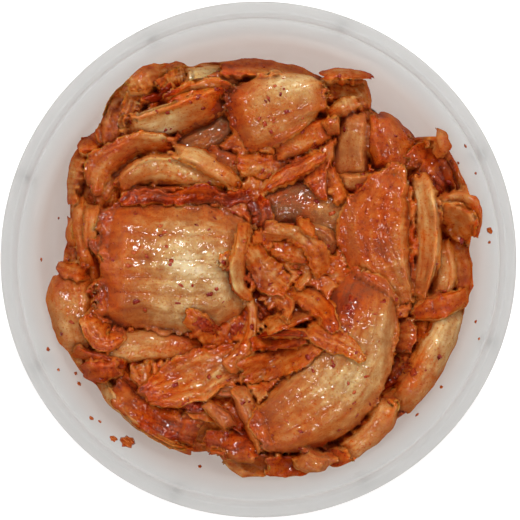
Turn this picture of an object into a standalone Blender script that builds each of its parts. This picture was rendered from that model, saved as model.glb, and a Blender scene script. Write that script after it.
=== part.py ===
"""Kimchi in a round plastic tub.

Two solids: the tub, a thin turned shell with a rolled rim, and the heap of
cut cabbage that fills most of it.  Metres, +Z up.  The origin is the centre
of the tub's underside, on the surface that it stands on.
"""

import math
from collections import namedtuple

import bmesh
import bpy

MM = 0.001

# Driving dimensions of the tub.
RIM_R = 75.0 * MM           # outside of the rim
HEIGHT = 66.0 * MM          # from the foot to the top of the rim
MOUTH_R = 69.3 * MM         # inside of the wall at the rim
WALL_T = 1.2 * MM           # wall and floor
DRAFT = math.radians(8.0)   # lean of the wall from upright
CORNER_R = 4.0 * MM         # inside corner between floor and wall
FOOT_R = 50.0 * MM          # shallow recess under the floor
FOOT_DEPTH = 0.6 * MM
BEAD_W = 0.9 * MM           # raised bead round the mouth
GROOVE_DEPTH = 0.9 * MM     # lid groove between bead and flange
GROOVE_W = 2.0 * MM
FLANGE_DROP = 0.4 * MM      # the flange lies a little under the bead
SKIRT_H = 5.0 * MM          # turned-down outer edge
SKIRT_T = 1.1 * MM
EDGE_R = 0.8 * MM           # rounding of the rim's outer edge
GUSSETS = 8                 # stiffening webs under the flange
GUSSET_T = 1.0 * MM
GUSSET_TURN = math.radians(25.5)
TUB_STEPS = 64

# Driving dimensions of the heap.
GAP = 0.3 * MM              # clearance between heap and tub
HEAP_R = 63.0 * MM          # mean radius of its upper outline
HEAP_EDGE_Z = 36.0 * MM     # mean height of that outline
HEAP_MIDDLE_Z = 43.0 * MM   # height of the bed that the top pieces lie on
HEAP_CELLS = 44             # cells along each side of its top grid
HEAP_BLEND = 5.0 * MM       # how far in the top bends down to the outline

# Bulges and dents of the heap's upper outline: where a leaf leans on the
# wall it reaches further out and higher, and between leaves it falls back.
Lobe = namedtuple("Lobe", "turn_deg width_deg out_mm up_mm")
LOBES = (
    Lobe(14, 11, 4.0, 12.0),
    Lobe(34, 10, 2.5, 8.0),
    Lobe(49, 8, -5.0, -2.0),
    Lobe(59, 6, 1.5, 6.0),
    Lobe(73, 7, -4.0, 0.0),
    Lobe(122, 16, 3.0, 8.0),
    Lobe(148, 8, 1.0, 5.0),
    Lobe(173, 14, -5.5, -3.0),
    Lobe(197, 13, 2.5, -1.0),
    Lobe(216, 8, 0.5, 3.0),
    Lobe(256, 8, -3.0, -3.0),
    Lobe(278, 17, 2.5, 3.0),
    Lobe(296, 8, 2.0, 5.0),
    Lobe(330, 16, 0.0, -3.0),
)

# The cut pieces that show on top: middle, length, width, turn of the length
# from +X, height of the crown, fall from crown to edge, and number of ribs.
Piece = namedtuple("Piece", "x y length width turn_deg crown fall ribs")
PIECES = (
    Piece(-25, -1, 46, 42, 0, 53.0, 10.0, 7),       # big ribbed stem
    Piece(6, 44, 30, 27, 12, 50.0, 4.0, 0),         # pale stem at the back
    Piece(5, 58, 28, 7, -3, 46.0, 3.0, 0),          # leaf behind it
    Piece(-31, 49, 27, 19, 28, 46.0, 6.0, 3),       # ruffled leaf
    Piece(-24, 42, 31, 12, 27, 48.5, 4.0, 0),       # tan stem
    Piece(-42, 30, 28, 13, 48, 45.5, 4.0, 2),       # folded leaf
    Piece(-20, 27, 36, 11, -14, 49.0, 4.0, 2),      # arched strip
    Piece(-20, 19, 38, 7, 0, 48.0, 3.0, 0),         # wet band
    Piece(-51, 10, 26, 9, 90, 42.5, 3.0, 2),        # strips at the side
    Piece(-57, -17, 24, 15, 100, 39.0, 3.0, 0),     # round-ended stem
    Piece(-32, -26, 31, 10, 3, 43.0, 4.0, 0),       # tan stem in front
    Piece(-46, -32, 15, 10, 20, 43.0, 4.0, 2),      # small leaf
    Piece(-20, -34, 38, 17, 33, 49.5, 6.0, 4),      # leaf with long folds
    Piece(-3, -19, 19, 7, 85, 51.0, 3.0, 0),        # its tail
    Piece(3, -5, 18, 13, -20, 50.5, 5.0, 2),        # crumpled leaf
    Piece(14, 4, 28, 10, -38, 52.0, 4.0, 2),        # arched band
    Piece(15, 16, 26, 14, -10, 46.0, 5.0, 0),       # grey stem
    Piece(14, 36, 20, 12, 38, 48.5, 3.0, 0),        # tan stem with paste
    Piece(12, 28, 20, 7, 40, 49.5, 3.0, 0),         # slanting strip
    Piece(27, 50, 18, 16, 50, 48.0, 5.0, 3),        # crinkled leaf
    Piece(27, 34, 18, 10, 90, 47.0, 3.0, 0),        # upright pale stem
    Piece(40, 36, 20, 16, 78, 45.5, 4.0, 0),        # brown stem
    Piece(51, 30, 19, 17, 58, 47.0, 6.0, 2),        # leaf with a fin
    Piece(59, 13, 15, 14, 70, 50.0, 5.0, 2),        # curled leaf
    Piece(34, 7, 40, 25, 80, 53.0, 6.0, 4),         # ribbed stem at the side
    Piece(51, 6, 37, 10, 92, 49.0, 4.0, 2),         # strip beside it
    Piece(57, -4, 17, 9, 90, 45.0, 3.0, 0),         # strip on the wall
    Piece(52, -16, 21, 10, 12, 48.0, 4.0, 2),       # folded leaf
    Piece(51, -34, 36, 9, 55, 40.0, 3.0, 0),        # stem along the wall
    Piece(20, -31, 56, 38, 62, 54.0, 9.0, 6),       # big stem in front
    Piece(9, -24, 32, 22, 18, 53.0, 5.0, 3),        # crumpled leaves
    Piece(-27, -50, 36, 10, -35, 39.0, 3.0, 2),     # dark leaf on the wall
    Piece(-6, -56, 17, 12, -10, 43.0, 4.0, 2),      # leaf at the front
    Piece(8, -62, 24, 8, 4, 41.0, 3.0, 2),          # leaf tips
    Piece(-9, -45, 21, 10, -52, 45.0, 4.0, 2),      # pink strip
)
RIB_DEPTH = 1.1 * MM        # height of a stem's ribs and a leaf's folds
SHOULDER = 0.4              # share of a piece over which its edge rounds down


def clear_scene():
    for item in list(bpy.data.objects):
        bpy.data.objects.remove(item, do_unlink=True)


def new_collection(name):
    collection = bpy.data.collections.new(name)
    bpy.context.scene.collection.children.link(collection)
    return collection


def new_material(name, colour, roughness):
    material = bpy.data.materials.new(name)
    material.use_nodes = True
    shader = material.node_tree.nodes["Principled BSDF"]
    shader.inputs["Base Color"].default_value = (*colour, 1.0)
    shader.inputs["Roughness"].default_value = roughness
    shader.inputs["Metallic"].default_value = 0.0
    return material


def new_object(name, mesh, material, collection):
    item = bpy.data.objects.new(name, mesh)
    mesh.materials.append(material)
    collection.objects.link(item)
    return item


def wall_radius(z):
    """Inside radius of the tub's wall at a height."""
    return MOUTH_R - (HEIGHT - z) * math.tan(DRAFT)


def arc(middle, radius, start_deg, end_deg, count):
    """Points on an arc, as (radius, height) pairs."""
    points = []
    for i in range(count + 1):
        angle = math.radians(start_deg + (end_deg - start_deg) * i / count)
        points.append((middle[0] + radius * math.cos(angle),
                       middle[1] + radius * math.sin(angle)))
    return points


def inside_profile():
    """From the middle of the floor out and up the wall to the mouth."""
    lean = math.degrees(DRAFT)
    middle_z = WALL_T + CORNER_R
    middle_r = wall_radius(middle_z) - CORNER_R / math.cos(DRAFT)
    return [(0.0, WALL_T), *arc((middle_r, middle_z), CORNER_R, -90, -lean, 4)]


def rim_profile():
    """Over the bead, through the lid groove, over the flange and its skirt."""
    bead = BEAD_W / 2
    groove_r = MOUTH_R + BEAD_W
    flange_r = groove_r + GROOVE_W
    flange_z = HEIGHT - FLANGE_DROP
    foot_z = flange_z - SKIRT_H
    points = arc((MOUTH_R + bead, HEIGHT - bead), bead, 180, 0, 4)
    points += [(groove_r + 0.15 * GROOVE_W, HEIGHT - GROOVE_DEPTH),
               (flange_r - 0.25 * GROOVE_W, HEIGHT - GROOVE_DEPTH),
               (flange_r, flange_z)]
    points += arc((RIM_R - EDGE_R, flange_z - EDGE_R), EDGE_R, 90, 0, 3)
    points += [(RIM_R, foot_z), (RIM_R - SKIRT_T, foot_z)]
    return points


def outside_profile():
    """Up inside the skirt, under the flange, and down the outer wall."""
    under_z = HEIGHT - GROOVE_DEPTH - WALL_T
    outer_t = WALL_T / math.cos(DRAFT)
    skirt_r = RIM_R - SKIRT_T
    lean = math.degrees(DRAFT)
    corner = CORNER_R * 0.6
    middle_r = wall_radius(corner) + outer_t - corner / math.cos(DRAFT)
    return [(skirt_r, under_z), (wall_radius(under_z) + outer_t, under_z),
            *arc((middle_r, corner), corner, -lean, -90, 3),
            (FOOT_R + FOOT_DEPTH, 0.0), (FOOT_R, FOOT_DEPTH),
            (0.0, FOOT_DEPTH)]


def turned(name, profile, steps, material, collection):
    """A profile in the XZ plane turned about the Z axis."""
    mesh = bpy.data.meshes.new(name)
    shape = bmesh.new()
    verts = [shape.verts.new((r, 0.0, z)) for r, z in profile]
    for a, b in zip(verts, verts[1:]):
        shape.edges.new((a, b))
    shape.to_mesh(mesh)
    shape.free()
    item = new_object(name, mesh, material, collection)
    screw = item.modifiers.new("turn", "SCREW")
    screw.axis = "Z"
    screw.angle = math.tau
    screw.steps = steps
    screw.render_steps = steps
    screw.use_merge_vertices = True
    screw.merge_threshold = 0.01 * MM
    screw.use_smooth_shade = True
    return item


def add_gusset(index, collection):
    """One web between wall and skirt, for joining to the tub."""
    top_z = HEIGHT - GROOVE_DEPTH - WALL_T / 2
    low_z = HEIGHT - FLANGE_DROP - SKIRT_H * 0.8
    inner_r = wall_radius(low_z) + WALL_T / 2
    outer_r = RIM_R - SKIRT_T / 2
    angle = GUSSET_TURN + math.tau * index / GUSSETS
    middle_r = (inner_r + outer_r) / 2
    bpy.ops.mesh.primitive_cube_add(
        size=1.0,
        location=(middle_r * math.cos(angle), middle_r * math.sin(angle),
                  (top_z + low_z) / 2),
        rotation=(0.0, 0.0, angle),
        scale=(outer_r - inner_r, GUSSET_T, top_z - low_z))
    web = bpy.context.object
    web.name = f"gusset_{index}"
    web.hide_render = True
    web.display_type = "WIRE"
    for owner in list(web.users_collection):
        owner.objects.unlink(web)
    collection.objects.link(web)
    return web


def build_tub(collection, cutters):
    plastic = new_material("tub_plastic", (0.72, 0.70, 0.68), 0.35)
    profile = inside_profile() + rim_profile() + outside_profile()
    tub = turned("tub", profile, TUB_STEPS, plastic, collection)
    for index in range(GUSSETS):
        join = tub.modifiers.new(f"gusset_{index}", "BOOLEAN")
        join.operation = "UNION"
        join.solver = "EXACT"
        join.object = add_gusset(index, cutters)
    return tub


def lobe_weight(angle, lobe):
    """One at the middle of a lobe, falling to nothing at its width."""
    away = math.degrees(angle) - lobe.turn_deg
    away = (away + 180.0) % 360.0 - 180.0
    if abs(away) >= lobe.width_deg:
        return 0.0
    return math.cos(away / lobe.width_deg * math.pi / 2) ** 2


def outline(angle):
    """Radius and height of the heap's upper outline in one direction."""
    out = sum(lobe_weight(angle, lobe) * lobe.out_mm for lobe in LOBES)
    up = sum(lobe_weight(angle, lobe) * lobe.up_mm for lobe in LOBES)
    waver = math.sin(7 * angle) + 0.6 * math.sin(11 * angle + 2.0)
    z = HEAP_EDGE_Z + (up + 0.8 * waver) * MM
    r = HEAP_R + (out + 0.6 * waver) * MM
    return min(r, wall_radius(z) - GAP / math.cos(DRAFT)), z


def piece_height(x, y, piece, bed):
    """Height of a cut piece over a point, down to the bed beside it."""
    turn = math.radians(piece.turn_deg)
    dx = x / MM - piece.x
    dy = y / MM - piece.y
    u = (dx * math.cos(turn) + dy * math.sin(turn)) / (piece.length / 2)
    v = (dy * math.cos(turn) - dx * math.sin(turn)) / (piece.width / 2)
    inside = 1.0 - abs(u) ** 3 - abs(v) ** 3
    if inside <= 0.0:
        return bed
    rib = 0.5 - 0.5 * math.cos(math.pi * piece.ribs * (v + 1.0))
    fall = piece.fall * (0.4 * u * u + 0.6 * v * v)
    top = (piece.crown - fall) * MM - RIB_DEPTH * rib
    shoulder = math.sin(min(inside / SHOULDER, 1.0) * math.pi / 2)
    return bed + (top - bed) * shoulder


def top_height(x, y):
    """Height of the heap's top: the highest piece over the bed."""
    r = math.hypot(x, y)
    edge_r, edge_z = outline(math.atan2(y, x))
    inward = min(r / edge_r, 1.0)
    bed = HEAP_MIDDLE_Z + (edge_z - HEAP_MIDDLE_Z) * inward ** 2
    top = max(piece_height(x, y, piece, bed) for piece in PIECES)
    t = min(max((edge_r - r) / HEAP_BLEND, 0.0), 1.0)
    return edge_z + (top - edge_z) * t * t * (3.0 - 2.0 * t)


def disc_point(s, t):
    """A point of a square mapped to the heap's round, uneven outline."""
    u = s * math.sqrt(1.0 - t * t / 2.0)
    v = t * math.sqrt(1.0 - s * s / 2.0)
    angle = math.atan2(v, u)
    r = min(math.hypot(u, v), 1.0) * outline(angle)[0]
    return r * math.cos(angle), r * math.sin(angle)


def side_point(angle, level):
    """Point on the heap's side: out to the wall, down it, and under."""
    top_r, top_z = outline(angle)
    clear = GAP / math.cos(DRAFT)
    floor_z = WALL_T + GAP
    corner_z = floor_z + CORNER_R
    lean_z = top_z - 5.0 * MM
    lean_r = wall_radius(lean_z) - clear
    touch_z = top_z - 12.0 * MM
    rings = (
        (min((top_r + lean_r) / 2, lean_r), lean_z),
        (wall_radius(touch_z) - clear, touch_z),
        (wall_radius(corner_z) - clear, corner_z),
        (wall_radius(floor_z) - clear - CORNER_R, floor_z),
    )
    r, z = rings[level]
    return r * math.cos(angle), r * math.sin(angle), z


def build_heap(collection):
    """A square grid pressed into the outline, with sides and a flat base."""
    food = new_material("kimchi_food", (0.55, 0.20, 0.06), 0.3)
    shape = bmesh.new()
    bmesh.ops.create_grid(shape, x_segments=HEAP_CELLS, y_segments=HEAP_CELLS,
                          size=1.0)
    for vert in shape.verts:
        x, y = disc_point(vert.co.x, vert.co.y)
        vert.co = (x, y, top_height(x, y))
    ring = [edge for edge in shape.edges if edge.is_boundary]
    for level in range(4):
        grown = bmesh.ops.extrude_edge_only(shape, edges=ring)["geom"]
        ring = [item for item in grown if isinstance(item, bmesh.types.BMEdge)]
        for vert in {vert for edge in ring for vert in edge.verts}:
            vert.co = side_point(math.atan2(vert.co.y, vert.co.x), level)
    bmesh.ops.contextual_create(shape, geom=ring)
    bmesh.ops.recalc_face_normals(shape, faces=shape.faces)
    mesh = bpy.data.meshes.new("kimchi")
    shape.to_mesh(mesh)
    shape.free()
    mesh.shade_smooth()
    return new_object("kimchi", mesh, food, collection)


def main():
    clear_scene()
    parts = new_collection("kimchi_tub")
    cutters = new_collection("cutters")
    build_tub(parts, cutters)
    build_heap(parts)


main()
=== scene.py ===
"""Looks for the kimchi in its tub: cut cabbage, chilli flakes and paste over
a wet core, in a milky tub, on a pale floor and seen from straight above.

Lengths in this script are millimetres until a mesh is made.  The layout of
the heap is drawn as seen from above at the level of the rim, with the tub's
axis at 0, 0, +X to the right and +Y away.
"""

import math

import bpy
import mathutils
import numpy as np
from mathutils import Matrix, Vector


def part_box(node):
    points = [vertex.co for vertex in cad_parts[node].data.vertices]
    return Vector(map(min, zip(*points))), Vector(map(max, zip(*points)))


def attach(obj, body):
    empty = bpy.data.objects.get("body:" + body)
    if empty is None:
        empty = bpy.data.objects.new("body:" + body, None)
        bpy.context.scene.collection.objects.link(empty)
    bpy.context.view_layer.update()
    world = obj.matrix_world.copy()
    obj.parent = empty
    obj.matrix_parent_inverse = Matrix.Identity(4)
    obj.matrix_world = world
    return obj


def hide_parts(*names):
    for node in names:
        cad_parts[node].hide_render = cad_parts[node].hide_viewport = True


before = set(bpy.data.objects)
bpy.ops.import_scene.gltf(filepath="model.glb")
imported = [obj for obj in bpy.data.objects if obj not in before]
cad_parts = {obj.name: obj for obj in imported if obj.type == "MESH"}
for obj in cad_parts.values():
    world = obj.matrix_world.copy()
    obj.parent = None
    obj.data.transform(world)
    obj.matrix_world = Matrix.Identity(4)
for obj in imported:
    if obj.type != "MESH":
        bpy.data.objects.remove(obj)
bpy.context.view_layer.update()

MM = 0.001
tub_low, tub_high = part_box("tub")
heap_low, heap_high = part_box("kimchi")

# Tub, from the frame's boxes.
RIM_R = (tub_high.x - tub_low.x) / 2 / MM
HEIGHT = tub_high.z / MM
FLOOR_T = heap_low.z / MM - 0.3
DRAFT = math.radians(8.0)
MOUTH_R = RIM_R * 0.924
WALL_T = 1.2

# Camera, straight above.
CAMERA_H = 550.0                     # above the rim
VIEW_W = 2.011 * RIM_R               # width of the view at the rim
SPREAD = 1.035                       # the heap lies below the level it is drawn at

CELL = 0.5                           # spacing of a piece's mesh
MAP_CELL = 0.75                      # spacing of the height map


# ---------------------------------------------------------------- tools

def hills(x, y, seed):
    """Smooth noise from -1 to 1, with hills about one unit apart."""
    size = 61
    table = np.random.default_rng(seed).uniform(-1.0, 1.0, (size, size))
    i = np.floor(x).astype(int)
    j = np.floor(y).astype(int)
    fx = x - i
    fy = y - j
    fx = fx * fx * (3.0 - 2.0 * fx)
    fy = fy * fy * (3.0 - 2.0 * fy)
    near = table[i % size, j % size] * (1 - fx) + table[(i + 1) % size, j % size] * fx
    j = j + 1
    far = table[i % size, j % size] * (1 - fx) + table[(i + 1) % size, j % size] * fx
    return near * (1 - fy) + far * fy


def rough(x, y, seed, octaves=3):
    """Hills with smaller hills on them, from about -1 to 1."""
    total = 0.0
    for k in range(octaves):
        total = total + hills(x * 2 ** k, y * 2 ** k, seed + 101 * k) / 2 ** k
    return total / 1.5


def smooth_step(value, low, high):
    t = np.clip((value - low) / (high - low), 0.0, 1.0)
    return t * t * (3.0 - 2.0 * t)


def along_curve(points, t):
    """Rows of numbers read along a smooth curve through the given rows."""
    points = np.array(points, float)
    steps = np.linalg.norm(np.diff(points[:, :2], axis=0), axis=1)
    knots = np.concatenate([[0.0], np.cumsum(steps)])
    knots /= knots[-1]
    slopes = np.gradient(points, knots, axis=0)
    k = np.clip(np.searchsorted(knots, t, side="right") - 1, 0, len(knots) - 2)
    gap = (knots[k + 1] - knots[k])[:, None]
    s = (t - knots[k])[:, None] / gap
    return (points[k] * (2 * s ** 3 - 3 * s ** 2 + 1)
            + slopes[k] * gap * (s ** 3 - 2 * s ** 2 + s)
            + points[k + 1] * (3 * s ** 2 - 2 * s ** 3)
            + slopes[k + 1] * gap * (s ** 3 - s ** 2))


def wall_radius(z):
    """Inside radius of the tub's wall at a height."""
    return MOUTH_R - (HEIGHT - z) * math.tan(DRAFT)


def box_blur(grid, reach):
    """Running mean over 2 * reach + 1 cells both ways."""
    width = 2 * reach + 1
    for axis in (0, 1):
        pad = [(0, 0), (0, 0)]
        pad[axis] = (reach + 1, reach)
        total = np.cumsum(np.pad(grid, pad, mode="edge"), axis=axis)
        grid = (np.take(total, range(width, total.shape[axis]), axis=axis)
                - np.take(total, range(0, total.shape[axis] - width), axis=axis)) / width
    return grid


def widen(grid, reach):
    """Highest value within reach cells both ways."""
    for axis in (0, 1):
        best = grid
        for shift in range(1, reach + 1):
            best = np.maximum(best, np.roll(grid, shift, axis))
            best = np.maximum(best, np.roll(grid, -shift, axis))
        grid = best
    return grid


class Bed:
    """Height map of what already lies in the tub."""

    def __init__(self):
        self.half = int(MOUTH_R / MAP_CELL) + 4
        line = (np.arange(2 * self.half + 1) - self.half) * MAP_CELL
        x, y = np.meshgrid(line, line, indexing="ij")
        self.top = core_top(x, y)
        self.covered = np.zeros(self.top.shape)

    def read(self, grid, x, y):
        i = np.clip(x / MAP_CELL + self.half, 0, 2 * self.half - 1.001)
        j = np.clip(y / MAP_CELL + self.half, 0, 2 * self.half - 1.001)
        a = i.astype(int)
        b = j.astype(int)
        fi = i - a
        fj = j - b
        return ((grid[a, b] * (1 - fi) + grid[a + 1, b] * fi) * (1 - fj)
                + (grid[a, b + 1] * (1 - fi) + grid[a + 1, b + 1] * fi) * fj)

    def support(self, x, y, reach=1.5):
        cells = max(1, round(reach / MAP_CELL))
        grid = box_blur(box_blur(widen(self.top, cells), cells), cells)
        return self.read(grid, x, y)

    def hollow_sauce_and_shade(self, points):
        """Redder in the gaps between pieces, partly sauce pooled there and partly painted
        shade: one deep in the gaps, falling to nothing on top.
        """
        cells = round(4.0 / MAP_CELL)
        around = box_blur(box_blur(self.top, cells), cells)
        below = self.read(around, points[:, 0], points[:, 1]) - points[:, 2]
        inland = wall_radius(points[:, 2]) - np.hypot(points[:, 0], points[:, 1])
        share = 0.35 + 0.65 * smooth_step(inland, 0.0, 8.0)
        return np.clip((below + 0.3) / 5.0, 0.0, 1.0) * share

    def lay(self, x, y, z):
        i = np.clip(np.round(x / MAP_CELL).astype(int) + self.half, 0, 2 * self.half)
        j = np.clip(np.round(y / MAP_CELL).astype(int) + self.half, 0, 2 * self.half)
        np.maximum.at(self.top, (i, j), z)
        self.covered[i, j] = 1.0


# How far out the heap reaches, as seen from above: direction, radius.
SHORE = (
    (0, 61), (15, 64.5), (34, 63.5), (38, 57.5), (53, 54.5), (59, 61), (71, 55.5),
    (90, 57.5), (109, 59.5), (121, 64), (132, 62), (140, 59), (147, 62),
    (170, 55.5), (180, 56.5), (191, 62), (203, 62), (215, 60), (225, 59),
    (240, 59), (251, 59), (258, 56.5), (266, 63), (279, 62.3), (293, 63.8),
    (310, 61.7), (326, 62), (339, 61.3), (348, 61.5), (360, 61),
)


def shore_seen(angle):
    """How far out the heap reaches in a direction, as seen from above."""
    turn = np.degrees(angle) % 360.0
    seen = np.interp(turn, [row[0] for row in SHORE], [row[1] for row in SHORE])
    return seen + 0.9 * rough(angle * 10.0, angle * 0.0 + 0.5, 43)


def shore_height(angle):
    """Height at which the heap meets the wall in a direction."""
    seen = shore_seen(angle)
    depth = (MOUTH_R - seen) / (math.tan(DRAFT) + seen / CAMERA_H)
    return HEIGHT - depth - 1.0


def core_top(x, y):
    """Top of the wet mass: a low mound that falls to the wall."""
    shore = shore_height(np.arctan2(y, x))
    away = wall_radius(shore) - np.hypot(x, y)
    t = np.sin(np.clip(away / 6.5, 0.0, 1.0) * math.pi / 2)
    return shore + (39.0 - shore) * t + 1.2 * t * rough(x / 9.0, y / 9.0, 5)


# ---------------------------------------------------------------- cut pieces

class Group:
    """Meshes of one kind, gathered to be joined as one piece."""

    def __init__(self):
        self.points = []
        self.faces = []
        self.tone = []
        self.grey = []
        self.grain = []
        self.count = 0

    def add(self, points, faces, tone, grey, grain):
        self.points.append(points)
        self.faces.append(faces + self.count)
        self.tone.append(tone)
        self.grey.append(np.broadcast_to(grey, tone.shape))
        self.grain.append(grain)
        self.count += len(points)


# Where sauce has stained the pieces (above nothing) or they are pale (below), with painted
# light and shade among them: the redder marks at -7, -21 and 46, -32 are painted shade in
# gaps, the paler ones at -27, 38, -24, -17.5 and -4, -60 are painted light on shaded edges.
# Columns: middle, reach both ways, turn, and how much.
TINTS_AND_PAINTED_LIGHT = (
    (-42, 2, 5, 17, 0, .10), (-5, -2, 4, 15, 0, .04), (-23, 14.5, 20, 3, 0, .20),
    (-24, -17.5, 16, 3, 0, -.12), (-20, -2, 9, 6, 0, -.28), (-9, -7, 5, 7, 0, -.32),
    (24.5, -14, 5.5, 7, -20, .44), (37, -20, 3.5, 9, -20, -.30), (-1, -46, 5, 7, 30, .15),
    (-8, 33, 4, 6, -20, .25), (9, 34, 12, 3, 25, .14), (18, 45, 3, 8, 0, .10),
    (8, 51, 8, 4, 10, -.34), (41, 8, 2.5, 12, 5, -.16), (38, 14, 3, 12, 0, .10),
    (-10, 46, 5, 4, 20, .25), (-8, 40, 4, 6, 0, .20),
    (-44, -10, 4, 6, 0, .20), (-31, -47, 12, 5, -35, .06), (-55, -20, 5, 4, 0, -.12),
    (-27, 47.5, 5, 3, 30, .32), (-27, 38, 7, 3, 20, -.42), (-7, -21, 4, 4, 0, .40),
    (26, -35, 7, 5, 30, -.22), (19, -46, 8, 3, 25, .12), (8, -50, 7, 4, 10, -.04), (2, 38, 8, 3, 20, -.12), (-12, -32, 5, 3, 25, -.16),
    (-28, -38, 5, 4, 20, .22), (-38, -42, 5, 3, -45, -.18), (-4, -60, 6, 4, 0, -.22),
    (-44, 24, 5, 8, -40, -.04), (46, -32, 3, 6, -30, .20),
    (54, -27, 3, 8, -35, -.12), (-28, -49, 8, 3, -25, .12), (-6, -54, 5, 3, 0, .10),
    (26, 47, 4, 3, 0, -.10), (34, 8, 6, 10, -10, .10), (48, 6, 3, 10, 0, .08),
    (20, 13, 5, 4, 0, -.18), (-33, -24, 6, 3, 0, -.08),
)


def tint_and_painted_light(x, y):
    """How much redder the pieces are at a point of the layout, from sauce stains, pale
    patches and some painted light and shade.
    """
    total = np.zeros_like(x)
    for middle_x, middle_y, reach_x, reach_y, turn_deg, much in TINTS_AND_PAINTED_LIGHT:
        turn = math.radians(turn_deg)
        dx = x - middle_x + 1.2 * hills(x / 4.0, y / 4.0, 41)
        dy = y - middle_y + 1.2 * hills(x / 4.0, y / 4.0, 42)
        u = (dx * math.cos(turn) + dy * math.sin(turn)) / reach_x
        v = (dy * math.cos(turn) - dx * math.sin(turn)) / reach_y
        total += much * np.exp(-np.clip(u * u + v * v, 0.0, 30.0))
    return total


def slab_faces(rows, columns):
    """Quads of a closed slab: a grid on top, one below and a rim round them."""
    index = np.arange(rows * columns).reshape(rows, columns)
    top = np.stack([index[:-1, :-1], index[1:, :-1], index[1:, 1:], index[:-1, 1:]],
                   axis=-1).reshape(-1, 4)
    low = top[:, ::-1] + rows * columns
    edge = np.concatenate([index[0, :-1], index[:-1, -1], index[-1, :0:-1],
                           index[:0:-1, 0]])
    after = np.roll(edge, -1)
    rim = np.stack([edge, after, after + rows * columns, edge + rows * columns],
                   axis=-1)
    return np.concatenate([top, low, rim])


def ribs_profile(across, count, seed):
    """Rounded ribs side by side, from 0 in a valley to 1 on a crest."""
    warped = (across + 1.0) / 2.0 * count + 0.35 * hills(across * 1.7 + 9.0,
                                                         across * 0.0, seed)
    part = warped - np.floor(warped)
    return np.sqrt(np.clip(1.0 - (2.0 * part - 1.0) ** 2, 0.0, 1.0))


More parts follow.
